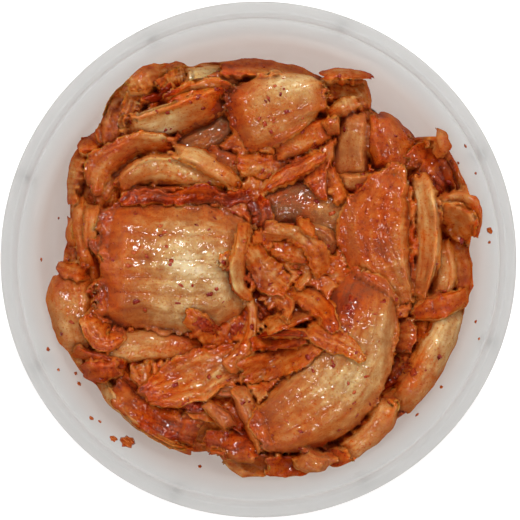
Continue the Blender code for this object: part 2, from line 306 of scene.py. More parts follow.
def cut_piece(bed, group, route, *, arch=0.0, thick=1.0, ribs=0, rib_depth=0.5,
              folds=0.0, fold_deg=0.0, drift=0.0, curl=(0.0, 0.0), curl_from=0.5,
              ruffle=0.0, waves=3.0, crumple=0.3, crumple_size=3.0, creases=0.5,
              crease_size=(9.0, 2.2), ragged=0.4, tips=(0.7, 0.7), drape=0.8,
              reach=1.5, sink=0.4, edge_tone=0.14, valley_sauce_and_shade=0.08, grey=0.0,
              cell=CELL, beyond=1.6, seed=0):
    """One cut piece of cabbage laid on the bed.

    route has rows of x, y, half width (or right and left half widths), tone
    and lift.  arch bends it down both sides, curl turns up its right and left
    edges, folds, ribs and creases run along it, in degrees and millimetres.
    """
    rows = []
    for x, y, width, tone, lift in route:
        right, left = width if isinstance(width, tuple) else (width, width)
        rows.append((x * SPREAD, y * SPREAD, right, left, tone, lift))
    rows = np.array(rows, float)
    bend = math.radians(arch)
    rows[:, 2:4] *= SPREAD * (bend / math.sin(bend) if bend > 0.01 else 1.0)
    length = np.linalg.norm(np.diff(rows[:, :2], axis=0), axis=1).sum()
    widest = (rows[:, 2] + rows[:, 3]).max()
    nu = max(8, int(length / cell) + 1)
    half_nv = max(4, int(widest / 2 / cell) + 1)
    u = np.linspace(0.0, 1.0, nu)
    v = np.linspace(-1.0, 1.0, 2 * half_nv + 1)
    line = along_curve(rows, u)
    heading = np.gradient(line[:, :2], axis=0)
    heading /= np.linalg.norm(heading, axis=1)[:, None] + 1e-9
    side = np.stack([-heading[:, 1], heading[:, 0]], axis=1)

    # Half widths, rounded in towards both cut ends and ragged along the edges.
    run = u * length
    shrink = np.ones(nu)
    for tip, away in ((tips[0], run), (tips[1], length - run)):
        taper = max(1.0, min(widest * 0.5, length * 0.4) * (1.15 - tip))
        near = np.clip(away / taper, 0.0, 1.0)
        shrink *= tip + (1.0 - tip) * np.sqrt(1.0 - (1.0 - near) ** 2)
    right = line[:, 2] * shrink + ragged * rough(run / 4.0, run * 0 + 0.5, seed + 1, 4)
    left = line[:, 3] * shrink + ragged * rough(run / 4.0, run * 0 + 7.5, seed + 2, 4)
    half = np.where(v[None, :] < 0.0, right[:, None], left[:, None])
    half = np.maximum(half, 0.15)

    # Slope of the section across the piece, then its offsets by summing.
    a = np.abs(v)[None, :]
    slope = -bend * v[None, :] * np.ones((nu, 1))
    if folds:
        phase = folds * v[None, :] / 2 + drift * u[:, None]
        phase = phase + 0.25 * hills(run[:, None] / 8.0, v[None, :] * 2.0, seed + 3)
        slope = slope + math.radians(fold_deg) * np.sin(math.tau * phase + seed)
    for sign, turn in ((-1.0, curl[0]), (1.0, curl[1])):
        past = np.clip((sign * v - curl_from) / (1.0 - curl_from), 0.0, 1.0)
        slope = slope + sign * math.radians(turn) * past[None, :]
    dv = v[1] - v[0]
    across = np.cos(slope) * half * dv
    upward = np.sin(slope) * half * dv
    across = np.cumsum((across + np.roll(across, 1, 1)) / 2, axis=1)
    upward = np.cumsum((upward + np.roll(upward, 1, 1)) / 2, axis=1)
    across -= across[:, half_nv:half_nv + 1]
    upward -= upward[:, half_nv:half_nv + 1]

    # Ribs, crumples and ruffled edges on top of that.
    along_mm = run[:, None] * np.ones_like(across)
    rib = np.ones_like(across)
    if ribs:
        sway = v[None, :] + 0.04 * hills(run[:, None] / 12.0, run[:, None] * 0, seed)
        rib = ribs_profile(sway, ribs, seed + 4)
        near_end = np.minimum(run, length - run)[:, None] / (0.2 * length)
        rib = 1.0 - (1.0 - rib) * smooth_step(near_end, 0.0, 1.0)
        upward = upward + rib_depth * (rib - 1.0) * (1.0 - a ** 8)
    upward = upward + crumple * rough(along_mm / crumple_size, across / crumple_size,
                                      seed + 5)
    bent = across + 0.35 * crease_size[1] * hills(along_mm / 6.0, across / 6.0, seed + 8)
    crease = rough(along_mm / crease_size[0], bent / crease_size[1], seed + 9, 2)
    crease = (1.0 - np.minimum(1.0, 2.6 * np.abs(crease))) ** 2
    upward = upward - creases * crease * (1.0 - a ** 6)
    if ruffle:
        wave = np.sin(math.tau * waves * u[:, None] + 1.7 * np.sign(v)[None, :]
                      + 2.0 * hills(run[:, None] / 6.0, v[None, :] * 0, seed + 6))
        upward = upward + ruffle * a ** 2.5 * wave

    x = line[:, 0:1] + side[:, 0:1] * across
    y = line[:, 1:2] + side[:, 1:2] * across
    end = np.abs(2.0 * u - 1.0)[:, None] ** 8 * np.sign(u - 0.5)[:, None]
    push = end * ragged * 2.0 * rough(across / 3.5, across * 0 + 3.5, seed + 7, 4)
    x = x + heading[:, 0:1] * push
    y = y + heading[:, 1:2] * push

    tail = np.minimum(run, length - run)[:, None] / max(3.0, 0.18 * length)
    sunk = np.maximum(smooth_step(a, 0.55, 1.0), 1.0 - smooth_step(tail, 0.0, 1.0))
    sunk = sunk * sink
    upward = upward - np.percentile(upward, 12, axis=1, keepdims=True)
    upward = np.maximum(upward, -0.6 * thick) * (1.0 - 0.5 * sunk)
    seen_x, seen_y = x / SPREAD, y / SPREAD
    shorter = drawn_in(seen_x, seen_y, beyond)
    seen_x, seen_y = seen_x * shorter, seen_y * shorter
    for _ in range(2):
        rest = settle(bed, x, y, reach, drape)
        rest = rest + sunk * np.minimum(bed.read(bed.top, x, y) - 0.3 - rest, 0.0)
        z = rest + upward + line[:, 5:6] + thick * (0.8 - 0.45 * sunk)
        z = raised_at_wall(seen_x, seen_y, z)
        z = np.minimum(z, HEIGHT - 6.0)
        x = seen_x * (1.0 + (HEIGHT - z) / CAMERA_H)
        y = seen_y * (1.0 + (HEIGHT - z) / CAMERA_H)

    top = np.stack([x, y, z], axis=-1)
    normal = np.cross(np.gradient(top, axis=0), np.gradient(top, axis=1))
    normal /= np.linalg.norm(normal, axis=-1, keepdims=True) + 1e-9
    if normal[..., 2].mean() < 0.0:
        normal = -normal
    depth = thick * (1.0 - 0.55 * a ** 3) * np.ones((nu, 1))
    low = top - normal * depth[..., None]
    border = np.zeros((nu, len(v)), bool)
    border[[0, -1], :] = True
    border[:, [0, -1]] = True
    inset = np.where(border, 0.3, 0.0)[..., None] * depth[..., None] * normal
    top = top - inset
    low = low + inset
    points = np.concatenate([top.reshape(-1, 3), low.reshape(-1, 3)])
    points = inside_wall(points)
    count = nu * len(v)
    bed.lay(points[:count, 0], points[:count, 1], points[:count, 2])

    rim = np.maximum(a ** 4, (1.0 - np.clip(tail, 0.0, 1.0)) ** 2)
    # Painted shade: rib valleys and creases are made redder, partly for sauce lying in
    # them.
    tone = line[:, 4:5] + edge_tone * rim + valley_sauce_and_shade * (1.0 - rib + crease)
    # Painted light and shade from the relief: small crests are made paler and small hollows
    # redder.
    crest = upward - box_blur(upward, 3)
    tone = tone + tint_and_painted_light(seen_x, seen_y) - 0.07 * np.clip(crest / 0.35, -1.0, 1.0)
    tone = np.tile(tone.ravel(), 2)
    grain = np.stack([along_mm, across + 40.0 * seed, np.full_like(across, seed * 7.3)],
                     axis=-1)
    grain = np.tile(grain.reshape(-1, 3), (2, 1))
    group.add(points, slab_faces(nu, len(v)), tone, grey, grain)


def settle(bed, x, y, reach, drape):
    """Height at which a piece lies: draped on the bed, or stiffly across it."""
    rest = bed.support(x, y, reach)
    if drape < 1.0:
        plane = np.stack([x.ravel(), y.ravel(), np.ones(x.size)], axis=1)
        fit = np.linalg.lstsq(plane, rest.ravel(), rcond=None)[0]
        stiff = (plane @ fit).reshape(x.shape)
        stiff = stiff + np.percentile(rest - stiff, 80)
        rest = drape * rest + (1.0 - drape) * stiff
    return rest


def wall_touch(seen):
    """Height of the wall, a little inside it, where it shows at a radius."""
    depth = (MOUTH_R - 0.45 - seen) / (math.tan(DRAFT) + seen / CAMERA_H)
    return HEIGHT - depth


def drawn_in(seen_x, seen_y, beyond):
    """How much nearer the middle points lie so as to keep to the outline."""
    seen = np.maximum(np.hypot(seen_x, seen_y), 1.0)
    start = shore_seen(np.arctan2(seen_y, seen_x)) + beyond - 2.5
    past = np.maximum(seen - start, 0.0)
    return np.where(past > 0.0, (start + 2.5 * np.tanh(past / 2.5)) / seen, 1.0)


def raised_at_wall(seen_x, seen_y, z):
    """Heights of a piece, raised smoothly where it leans on the wall."""
    seen = np.hypot(seen_x, seen_y)
    turn = np.degrees(np.arctan2(seen_y, seen_x)) % 360.0
    sector = np.minimum((turn / 3.0).astype(int), 119)
    need = np.zeros(120)
    outer = np.zeros(120)
    np.maximum.at(need, sector, wall_touch(seen) - z)
    np.maximum.at(outer, sector, seen)
    need = np.maximum(np.maximum(np.roll(need, 1), np.roll(need, -1)), need)
    need = (np.roll(need, 1) + np.roll(need, -1) + need) / 3.0
    middles = np.arange(120) * 3.0 + 1.5
    lift = np.interp(turn, middles, need, period=360.0)
    inland = np.interp(turn, middles, outer, period=360.0) - seen
    z = z + lift * (1.0 - smooth_step(inland, 0.0, 14.0))
    return np.maximum(z, wall_touch(seen))


def inside_wall(points):
    """Points kept inside the tub."""
    points = points.copy()
    r = np.hypot(points[:, 0], points[:, 1])
    past = np.maximum(r - wall_radius(points[:, 2]) + 0.3, 0.0)
    points[:, :2] *= (1.0 - past / np.maximum(r, 1.0))[:, None]
    return points


def build_mesh(name, group, bed=None):
    """One mesh from a group, with its tone, greyness, grain and gap redness (sauce and
    painted shade) kept.
    """
    points = np.concatenate(group.points)
    faces = np.concatenate(group.faces)
    mesh = bpy.data.meshes.new(name)
    mesh.vertices.add(len(points))
    mesh.vertices.foreach_set("co", (points * MM).astype(np.float32).ravel())
    mesh.loops.add(faces.size)
    mesh.loops.foreach_set("vertex_index", faces.astype(np.int32).ravel())
    mesh.polygons.add(len(faces))
    width = faces.shape[1]
    mesh.polygons.foreach_set("loop_start",
                              np.arange(0, faces.size, width, dtype=np.int32))
    mesh.update(calc_edges=True)
    mesh.validate()
    mesh.shade_smooth()
    values = {"tone": np.concatenate(group.tone), "grey": np.concatenate(group.grey)}
    if bed is not None:
        # Kept as "wet": redder in the gaps between pieces, partly sauce and partly painted
        # shade.
        values["wet"] = bed.hollow_sauce_and_shade(points)
    for label, numbers in values.items():
        layer = mesh.attributes.new(label, "FLOAT", "POINT")
        layer.data.foreach_set("value", numbers.astype(np.float32))
    grain = mesh.attributes.new("grain", "FLOAT_VECTOR", "POINT")
    grain.data.foreach_set("vector",
                           np.concatenate(group.grain).astype(np.float32).ravel())
    item = bpy.data.objects.new(name, mesh)
    bpy.context.scene.collection.objects.link(item)
    return item


# ---------------------------------------------------------------- the heap

STEM = dict(thick=2.2, arch=30.0, crumple=0.4, crumple_size=5.0, ragged=0.7,
            creases=0.2, crease_size=(12.0, 3.5), drape=0.4, reach=2.0, sink=0.8,
            tips=(0.85, 0.85))
LEAF = dict(thick=0.8, arch=10.0, folds=2.0, fold_deg=38.0, drift=0.3,
            crumple=0.6, crumple_size=3.6, ragged=1.2, ruffle=0.8, waves=3.0,
            creases=0.4, crease_size=(9.0, 2.4), drape=0.85, sink=0.3,
            tips=(0.75, 0.75))


def lay_filler(bed, leaves):
    """Unseen leaves under the top ones, which show only in the gaps."""
    rng = np.random.default_rng(11)
    for k in range(46):
        turn = rng.uniform(0.0, math.tau)
        r = 54.0 * math.sqrt(rng.uniform())
        around = rng.uniform(0.0, math.tau)
        x, y = r * math.cos(around), r * math.sin(around)
        half = rng.uniform(7.0, 11.0)
        dx, dy = half * math.cos(turn), half * math.sin(turn)
        width = rng.uniform(3.5, 6.0)
        tone = rng.uniform(0.74, 0.96)
        cut_piece(bed, leaves, [(x - dx, y - dy, width, tone, -1.4),
                                (x + rng.uniform(-2, 2), y + rng.uniform(-2, 2),
                                 width, tone, -1.0),
                                (x + dx, y + dy, width, tone, -1.4)],
                  **dict(LEAF, ruffle=0.3), reach=0.8, cell=0.8, beyond=-0.5,
                  seed=100 + k)


def lay_skirt(bed, leaves):
    """Leaves that hang down the heap's side all the way round."""
    rng = np.random.default_rng(23)
    count = 30
    for k in range(count):
        for row, away in ((0, 4.5), (1, 9.0)):
            angle = math.tau * (k + 0.5 * row + rng.uniform(-0.25, 0.25)) / count
            shore = float(shore_height(np.array(angle)))
            seen = wall_radius(shore) / (1.0 + (HEIGHT - shore) / CAMERA_H) - away
            half = rng.uniform(6.0, 10.0) / seen
            lean = rng.uniform(-0.04, 0.04)
            tone = rng.uniform(0.5, 0.78)
            width = rng.uniform(3.2, 4.8)
            route = []
            for step, share in ((-1, 0.7), (0, 1.0), (1, 0.7)):
                a = angle + step * half
                r = seen * (1.0 + step * lean) / SPREAD
                route.append((r * math.cos(a), r * math.sin(a), width * share,
                              tone, 0.2))
            cut_piece(bed, leaves, route, **dict(LEAF, drape=1.0), reach=0.8,
                      cell=0.65, beyond=-0.5, seed=400 + 2 * k + row)


def lay_wall_pieces(bed, stems, leaves):
    """Pieces low down against the wall, all the way round."""
    # Front right: a long stem that follows the wall, and the one after it.
    cut_piece(bed, stems, [(57.5, -13, 2.5, .30, 0), (54.5, -20, 4.5, .30, 0),
                           (50.5, -28, 5.0, .36, 0), (47, -35, 5.0, .44, 0),
                           (41, -43, 4.0, .46, 0)],
              **dict(STEM, arch=60.0), ribs=3, rib_depth=.5, seed=1)
    cut_piece(bed, stems, [(38, -40, 3.0, .50, 0), (36, -47, 4.0, .46, 0),
                           (30.5, -53, 4.0, .42, 0), (25, -57, 3.5, .45, 0)],
              **dict(STEM, arch=50.0), ribs=2, rib_depth=.4, seed=2)
    cut_piece(bed, leaves, [(19, -56, 2.5, .80, 0), (24, -58, 2.5, .72, .5),
                            (29, -60, .8, .62, 1)], **LEAF, seed=3)
    # Front: leaf tips that lap up to the wall.
    cut_piece(bed, leaves, [(-12, -60, 2.5, .52, .6), (-6, -59.5, 4.0, .60, 1.4),
                            (0, -60.0, 3.8, .66, 1.4), (4, -60, 2.8, .66, .8)],
              **dict(LEAF, ruffle=.6, folds=1.0, arch=0.0, sink=0.0), seed=4)
    cut_piece(bed, leaves, [(2, -60.5, 3.0, .78, 0), (8, -60.5, 3.6, .74, 0),
                            (15, -59.5, 3.0, .70, 0)],
              **dict(LEAF, ruffle=.5, folds=1.0, arch=0.0, sink=0.0), seed=5)
    cut_piece(bed, stems, [(11.5, -57, 3.4, .52, .5), (15.5, -59, 3.6, .48, .8),
                           (20.5, -61, 3.4, .50, .8)],
              **dict(STEM, arch=15.0, thick=1.6), ribs=3, rib_depth=.3, grey=.3,
              seed=6)
    cut_piece(bed, leaves, [(-15, -52.5, 3.5, .70, 0), (-8, -54, 5.0, .68, .6),
                            (0, -54.5, 4.5, .76, .4)],
              **dict(LEAF, folds=2.0, fold_deg=30.0, ruffle=.3), seed=7)
    cut_piece(bed, stems, [(-14.5, -56.8, 1.4, .62, 0), (-9.5, -57.2, 1.5, .70, 0)],
              **dict(STEM, thick=1.6), seed=8)
    # Front left: a dark leaf along the wall behind a thin pale stem.
    cut_piece(bed, stems, [(-46, -35, 1.6, .46, -.5), (-43, -40, 2.2, .40, -.5),
                           (-38, -46.5, 2.0, .44, -.5), (-31, -52, 2.0, .52, -.5),
                           (-25, -55, 1.8, .52, -.5), (-19.5, -56.5, 1.6, .58, -.5)],
              **dict(STEM, arch=50.0, thick=1.6), seed=9)
    cut_piece(bed, leaves, [(-42, -37, 3.5, .66, -1.0), (-36, -43, 4.8, .70, -1.4),
                            (-27, -48, 5.5, .68, -1.6), (-17, -50, 4.5, .66, -1.4)],
              **dict(LEAF, folds=3.0, fold_deg=24.0), seed=10)
    # Left: a flat round-ended stem, narrow strips on edge and frills above.
    cut_piece(bed, stems, [(-55.0, -4.5, 6.2, .56, -.5), (-55, -12, 7.6, .46, .2),
                           (-54, -19, 6.4, .44, .2), (-52, -27, 3.4, .46, 0)],
              **dict(STEM, arch=20.0, thick=2.0, tips=(.7, .5)), ribs=2,
              rib_depth=.25, seed=12)
    cut_piece(bed, leaves, [(-60, -1, 1.0, .66, 0), (-55, -3, 2.6, .62, 0),
                            (-50, -4, 2.2, .70, 0)], **LEAF, seed=13)
    cut_piece(bed, stems, [(-54.3, 13, 1.6, .62, 1), (-54.6, 8, 1.9, .60, 1),
                           (-54, 3, 1.6, .64, 0)],
              **dict(STEM, arch=25.0, thick=1.0), seed=14)
    cut_piece(bed, stems, [(-52.5, 18, 1.6, .56, 1), (-51.8, 12, 2.4, .52, 1),
                           (-51, 5, 2.4, .58, .5), (-49.5, -2, 2.2, .62, 0)],
              **dict(STEM, arch=50.0, thick=1.2), ribs=1, seed=15)
    cut_piece(bed, stems, [(-48, 16, 2.2, .48, .6), (-48.6, 9, 2.4, .46, .6),
                           (-48, 3, 2.0, .66, 0)],
              **dict(STEM, arch=40.0, thick=1.4), ribs=2, seed=16)
    cut_piece(bed, leaves, [(-54.5, 17, 1.8, .60, 1), (-54.2, 22, 2.4, .50, 1.2),
                            (-53, 27, 2.6, .56, 1.5), (-51.5, 31, 2.6, .66, 1.5)],
              **dict(LEAF, ruffle=1.6, waves=5.0, ragged=1.2), seed=17)
    cut_piece(bed, leaves, [(-53, 34.5, 1.4, .62, 1.5), (-49, 33.5, 3.2, .70, 1.5),
                            (-45, 37, 3.0, .64, 1.2), (-41, 40.5, 2.6, .58, .8)],
              **dict(LEAF, ruffle=1.6, waves=4.0, ragged=1.2), seed=18)
    # Right: reddish leaves behind the strips.
    cut_piece(bed, leaves, [(56, 5, 2.4, .62, 0), (59, 0, 3.4, .62, .8),
                            (60, -6, 3.2, .62, .8), (59, -13, 2.4, .60, 0)],
              **dict(LEAF, folds=2.5, arch=0.0, sink=0.0, drape=.6), seed=19)


def lay_back_pieces(bed, stems, leaves):
    """The far side of the heap, from left to right."""
    frill = dict(LEAF, thick=.6, crumple=.8, crumple_size=1.8, ragged=2.0, folds=3.0,
                 fold_deg=46.0, ruffle=1.4, waves=6.0, arch=0.0, sink=0.0)
    cut_piece(bed, leaves, [(-44, 35, 4.4, .62, .6), (-43, 42, 6.0, .60, 1.0),
                            (-38.5, 48, 6.0, .58, 1.2), (-33, 52, 4.0, .60, 1.0)],
              **frill, seed=20)
    cut_piece(bed, leaves, [(-37.5, 41, 2.6, .64, .8), (-36, 46.5, 3.8, .56, 1.4),
                            (-31.5, 50.5, 3.4, .60, 1.2)], **frill, seed=11)
    cut_piece(bed, leaves, [(-39, 49.5, 3.4, .56, 1.2), (-33, 53.2, 4.6, .54, 1.6),
                            (-26, 55.0, 3.8, .56, 1.4), (-20, 55.2, 2.4, .50, 1.0)],
              **frill, seed=110)
    cut_piece(bed, leaves, [(-30, 50.0, 2.4, .60, 1.2), (-24.5, 52.5, 3.4, .56, 1.6),
                            (-18.5, 53.6, 2.4, .54, 1.0)], **frill, seed=111)
    cut_piece(bed, leaves, [(-33, 45, 2.6, .86, 0), (-28, 47, 2.6, .97, -1.5),
                            (-24, 50, 2.4, .80, 0)],
              **dict(LEAF, folds=1.0), seed=21)
    cut_piece(bed, stems, [(-21, 53.5, 2.2, .36, 1), (-15, 54.3, 2.6, .28, 1),
                           (-9, 54.4, 2.4, .34, .5)],
              **dict(STEM, arch=20.0, thick=1.2), ribs=2, rib_depth=.3, seed=22)
    cut_piece(bed, stems, [(-14, 52, 2.0, .60, .5), (-9, 52.5, 2.4, .58, .8),
                           (-5, 53, 2.4, .56, .5)],
              **dict(STEM, arch=30.0, thick=1.2), ribs=2, grey=.3, seed=23)
    cut_piece(bed, leaves, [(-9.5, 55.4, 2.4, .68, 1.4), (-2, 56.2, 3.0, .64, 1.8),
                            (6, 55.8, 3.0, .66, 1.8), (13, 53.8, 2.8, .70, 1.4),
                            (18, 51.5, 1.8, .78, .8)],
              **dict(LEAF, folds=2.0, ruffle=.8, crumple=.8, crumple_size=2.4,
                     arch=0.0, sink=0.0, drape=.4), seed=24)
    # Grey stem in the hollow between the tan stem and the pale one.
    cut_piece(bed, stems, [(-24, 32, 2.6, .58, 0), (-18, 34, 3.8, .52, .4),
                           (-12, 37, 3.4, .66, 0), (-8, 41, 2.6, .88, -1)],
              **dict(STEM, arch=40.0), ribs=3, grey=.75, seed=25)
    cut_piece(bed, stems, [(-15, 31, 2.6, .54, 0), (-9, 27.5, 3.8, .50, .5),
                           (-3, 25, 3.6, .56, .3)],
              **dict(STEM, arch=35.0, thick=1.6), grey=.25, seed=26)
    cut_piece(bed, leaves, [(-27, 46.5, 1.6, .62, 1.2), (-20, 49, 2.2, .55, 1.5),
                            (-13, 50, 2.4, .54, 1.5), (-9, 49, 2.2, .62, 1.5)],
              **dict(LEAF, folds=2.0, fold_deg=28.0, ruffle=.4), seed=27)
    cut_piece(bed, stems, [(-39, 38, 3.4, .40, .6), (-31, 39.4, 4.6, .40, 1.0),
                           (-22, 42.3, 5.2, .46, 1.2), (-14, 45.5, 4.4, .58, .8),
                           (-9.5, 47.5, 3.0, .70, .4)],
              **dict(STEM, arch=42.0), ribs=3, rib_depth=.35, seed=28)
    # Back right: crinkled leaf, brown and pale stems.
    cut_piece(bed, stems, [(34.5, 42.5, 3.6, .66, 0), (37.5, 37, 6.4, .62, .5),
                           (39, 30, 6.6, .64, .5), (38, 25, 5.0, .68, 0)],
              **dict(STEM, arch=24.0, thick=1.5, tips=(.5, .8)), ribs=4,
              rib_depth=.25, seed=29)
    cut_piece(bed, stems, [(28.5, 43, 2.6, .56, .2), (27.3, 36, 4.4, .48, .4),
                           (26.8, 29, 4.8, .48, .4), (27, 23, 4.4, .52, .2)],
              **dict(STEM, arch=35.0, thick=1.8), ribs=2, rib_depth=.4, grey=.35,
              seed=30)
    cut_piece(bed, stems, [(23, 22.5, 2.6, .50, .2), (29, 22, 3.0, .52, .4),
                           (36, 23.5, 2.6, .50, .2)],
              **dict(STEM, arch=30.0, thick=1.4), grey=.3, seed=31)
    cut_piece(bed, leaves, [(19, 50, 3.4, .62, 1), (24, 50, 4.4, .58, 1.5),
                            (29.5, 48, 3.6, .60, 1.5), (31, 44, 2.2, .58, 1)],
              **dict(LEAF, folds=4.0, fold_deg=40.0, ruffle=1.0), seed=32)
    cut_piece(bed, leaves, [(18.5, 53, 1.6, .66, 1.6), (23, 54.5, 2.2, .60, 1.8),
                            (28, 54.5, 2.2, .52, 1.8), (33.5, 52.3, .8, .95, 1.5)],
              **dict(LEAF, folds=1.0, ruffle=.5), beyond=3.5, seed=33)
    cut_piece(bed, leaves, [(21, 42.5, 2.0, .58, 2), (24.5, 44.5, 2.6, .44, 2.4),
                            (28, 45.5, 2.2, .46, 2)],
              **dict(LEAF, folds=1.0, fold_deg=30.0), seed=34)
    cut_piece(bed, leaves, [(43, 29, 2.6, .70, 0), (48, 30, 4.6, .72, 1),
                            (52, 26, 4.6, .74, 1), (55, 21, 3.2, .76, .4)],
              **dict(LEAF, fold_deg=30.0, ruffle=.8), seed=35)
    cut_piece(bed, leaves, [(46, 24, 1.8, .84, 0), (50, 20.5, 2.6, .92, -.6),
                            (52.5, 17, 2.0, .84, 0)], **LEAF, seed=36)
    cut_piece(bed, leaves, [(52.3, 38.3, .6, .52, 4), (53.3, 35, 1.7, .56, 4),
                            (54.2, 31.2, 1.5, .66, 2.5)],
              **dict(LEAF, folds=0.0, arch=70.0, ruffle=.2), beyond=4.5, seed=37)
    cut_piece(bed, leaves, [(51.5, 12.5, 1.4, .48, 1.2), (54.5, 16.5, 1.8, .44, 1.6),
                            (59, 18.4, 1.8, .48, 1.8), (63, 16.5, 1.6, .60, 1.6),
                            (64.4, 12, 1.4, .62, 1.2), (63, 7.5, 1.2, .68, .8)],
              **dict(LEAF, arch=75.0, folds=0.0, ruffle=.8, waves=6.0), beyond=3.0,
              seed=39)
    cut_piece(bed, leaves, [(54, 15, 2.4, .52, 1.6), (58, 11.5, 4.6, .50, 2.2),
                            (61, 7, 4.0, .60, 1.6)],
              **dict(LEAF, arch=14.0, folds=1.0, fold_deg=16.0, ruffle=.5),
              beyond=3.0, seed=38)


def lay_upper_left(bed, stems, leaves):
    """Folded leaf, arched strips and the wet band over the big stem."""
    cut_piece(bed, leaves, [(-46, 18.5, 2.2, .62, 0), (-42.5, 23.5, 2.8, .56, .4),
                            (-38, 27.5, 2.6, .56, .4), (-34, 30.5, 2.0, .62, 0)],
              **dict(LEAF, folds=3.0), grey=.3, seed=40)
    cut_piece(bed, leaves, [(-47.5, 20, 2.4, .58, 1.6), (-46.5, 26, 3.8, .60, 2.4),
                            (-42, 30.8, 3.4, .66, 2.6), (-35, 33.6, 2.7, .60, 2.6),
                            (-26, 33, 2.0, .62, 2.0)],
              **dict(LEAF, arch=50.0, folds=1.5, fold_deg=26.0, ruffle=.3), seed=41)
    cut_piece(bed, leaves, [(-38.5, 21.5, 2.2, .56, 1), (-33, 24.5, 3.6, .62, 1.8),
                            (-25, 24.6, 3.6, .68, 2.4), (-16, 23.8, 2.6, .66, 2.2),
                            (-6, 21.6, 1.6, .72, 1.2)],
              **dict(LEAF, folds=2.0, fold_deg=30.0, ruffle=.3, curl=(-60, 0),
                     curl_from=.7), seed=43)
    cut_piece(bed, stems, [(-40, 20.5, 2.2, .46, 1.4), (-37, 24.6, (3.6, 2.6), .40, 2.2),
                           (-31.5, 27.6, (5.0, 3.0), .34, 2.8),
                           (-25, 27.4, (5.0, 3.0), .38, 2.8),
                           (-17, 24.2, (3.6, 2.6), .42, 2.4), (-9, 21.6, 2.0, .56, 1.4)],
              **dict(STEM, arch=30.0, thick=1.2, drape=.6), ribs=3, rib_depth=.3,
              edge_tone=.2, seed=44)
    cut_piece(bed, stems, [(-25, 31.4, 1.6, .48, 2.4), (-19, 30.2, 2.6, .38, 3.0),
                           (-13, 26.6, 2.6, .38, 2.8), (-6, 22, 1.7, .52, 1.6)],
              **dict(STEM, arch=40.0, thick=1.2, drape=.8), ribs=2, rib_depth=.3,
              seed=45)


def lay_middle(bed, stems, leaves):
    """Grey stem, tan stem, slanting strips and crumpled leaves; the tan stem's paste is
    laid later with the other patches.
    """
    cut_piece(bed, stems, [(2, 14, 4.5, .78, 0), (11, 16, 6.4, .84, .4),
                           (20, 14, 7.0, .56, .6), (26.5, 11, 5.0, .60, .3)],
              **dict(STEM, arch=40.0, thick=2.2), ribs=3, rib_depth=.3, grey=.7,
              seed=50)
    cut_piece(bed, stems, [(12, 9, 2.6, .48, 0), (18, 6, 4.0, .50, .4),
                           (22, 2, 3.4, .62, 0)],
              **dict(STEM, arch=40.0, thick=1.8), grey=.6, seed=51)
    cut_piece(bed, leaves, [(19, 27, 2.2, .66, .6), (22, 21.5, 2.8, .60, .8),
                            (25, 15.5, 2.2, .64, .6)],
              **dict(LEAF, arch=35.0, folds=1.0, fold_deg=20.0), seed=52)
    cut_piece(bed, leaves, [(17.5, 30, 2.6, .66, 1.4), (16.5, 25, 3.4, .72, 1.6),
                            (18.5, 18.5, 1.4, .70, .8)],
              **dict(LEAF, folds=1.0, fold_deg=24.0), seed=53)
    cut_piece(bed, leaves, [(-6, 27.5, 2.8, .54, .8), (1, 27, 3.8, .56, 1.2),
                            (8, 26, 3.2, .60, 1.2)],
              **dict(LEAF, folds=3.0, fold_deg=34.0), seed=54)
    cut_piece(bed, stems, [(4, 31.5, 3.2, .56, .8), (10, 34, 4.4, .48, 1.4),
                           (16, 36.5, 4.4, .52, 1.6), (21, 38.5, 3.2, .64, 1.2)],
              **dict(STEM, arch=35.0, thick=1.8), seed=55)
    cut_piece(bed, leaves, [(21.5, 36.5, 1.4, .56, 2.4), (22, 39.5, 1.9, .48, 2.6),
                            (21.5, 42, 1.4, .60, 2.2)],
              **dict(LEAF, folds=0.0, arch=40.0, ruffle=.1), seed=56)
    cut_piece(bed, leaves, [(2.5, 20.8, 1.2, .74, 1.2), (7, 24, 2.4, .74, 1.6),
                            (13, 27.2, 2.4, .70, 1.8), (18.5, 30.3, 1.5, .68, 1.4)],
              **dict(LEAF, arch=40.0, folds=2.0, fold_deg=28.0, ruffle=.2), seed=57)
    cut_piece(bed, leaves, [(-1, 17.5, 2.4, .88, .6), (1.2, 13, 3.4, .82, 1.0),
                            (.5, 9, 2.6, .80, .6)],
              **dict(LEAF, folds=2.0, crumple=.8), seed=58)
    # Crumpled leaves between the two big stems.
    cut_piece(bed, leaves, [(-1, -10, 3.5, .72, 0), (5, -14, 6.0, .76, 0),
                            (12, -17, 6.0, .74, 0), (19, -20, 4.5, .72, 0)],
              **dict(LEAF, folds=4.0, fold_deg=34.0), seed=59)


def lay_big_stem(bed, stems):
    """The big ribbed stem on the left."""
    cut_piece(bed, stems, [(-46.5, -1.5, (15.0, 16.5), .58, .6),
                           (-40, -1.8, (17.5, 19.0), .52, 1.4),
                           (-30, -2.0, (18.5, 18.6), .38, 2.0),
                           (-20, -2.0, (18.8, 18.2), .24, 2.2),
                           (-11, -2.0, (17.8, 17.0), .40, 2.0),
                           (-3, -2.5, (12.5, 14.0), .44, 1.2)],
              arch=42.0, thick=3.4, ribs=7, rib_depth=.7, crumple=.4,
              crumple_size=9.0, creases=.1, ragged=1.2, tips=(.85, .85), drape=.1,
              reach=3.0, sink=.8, edge_tone=.14, valley_sauce_and_shade=.1, grey=.3, seed=60)


def lay_pale_stem(bed, stems):
    """The pale stem at the back."""
    cut_piece(bed, stems, [(-7.5, 39.5, (8.0, 9.0), .58, 1.0),
                           (0, 42, (10.0, 10.5), .52, 2.0),
                           (8, 45, (9.0, 9.8), .48, 2.2),
                           (15, 46.5, (5.6, 7.0), .40, 1.8),
                           (19.5, 46.5, (3.2, 4.4), .52, 1.2)],
              arch=26.0, thick=3.0, ribs=2, rib_depth=.3, crumple=.5,
              crumple_size=8.0, creases=.1, ragged=.6, tips=(.85, .6), drape=.15,
              reach=2.5, sink=.6, edge_tone=.12, valley_sauce_and_shade=.06, grey=.2, seed=61)


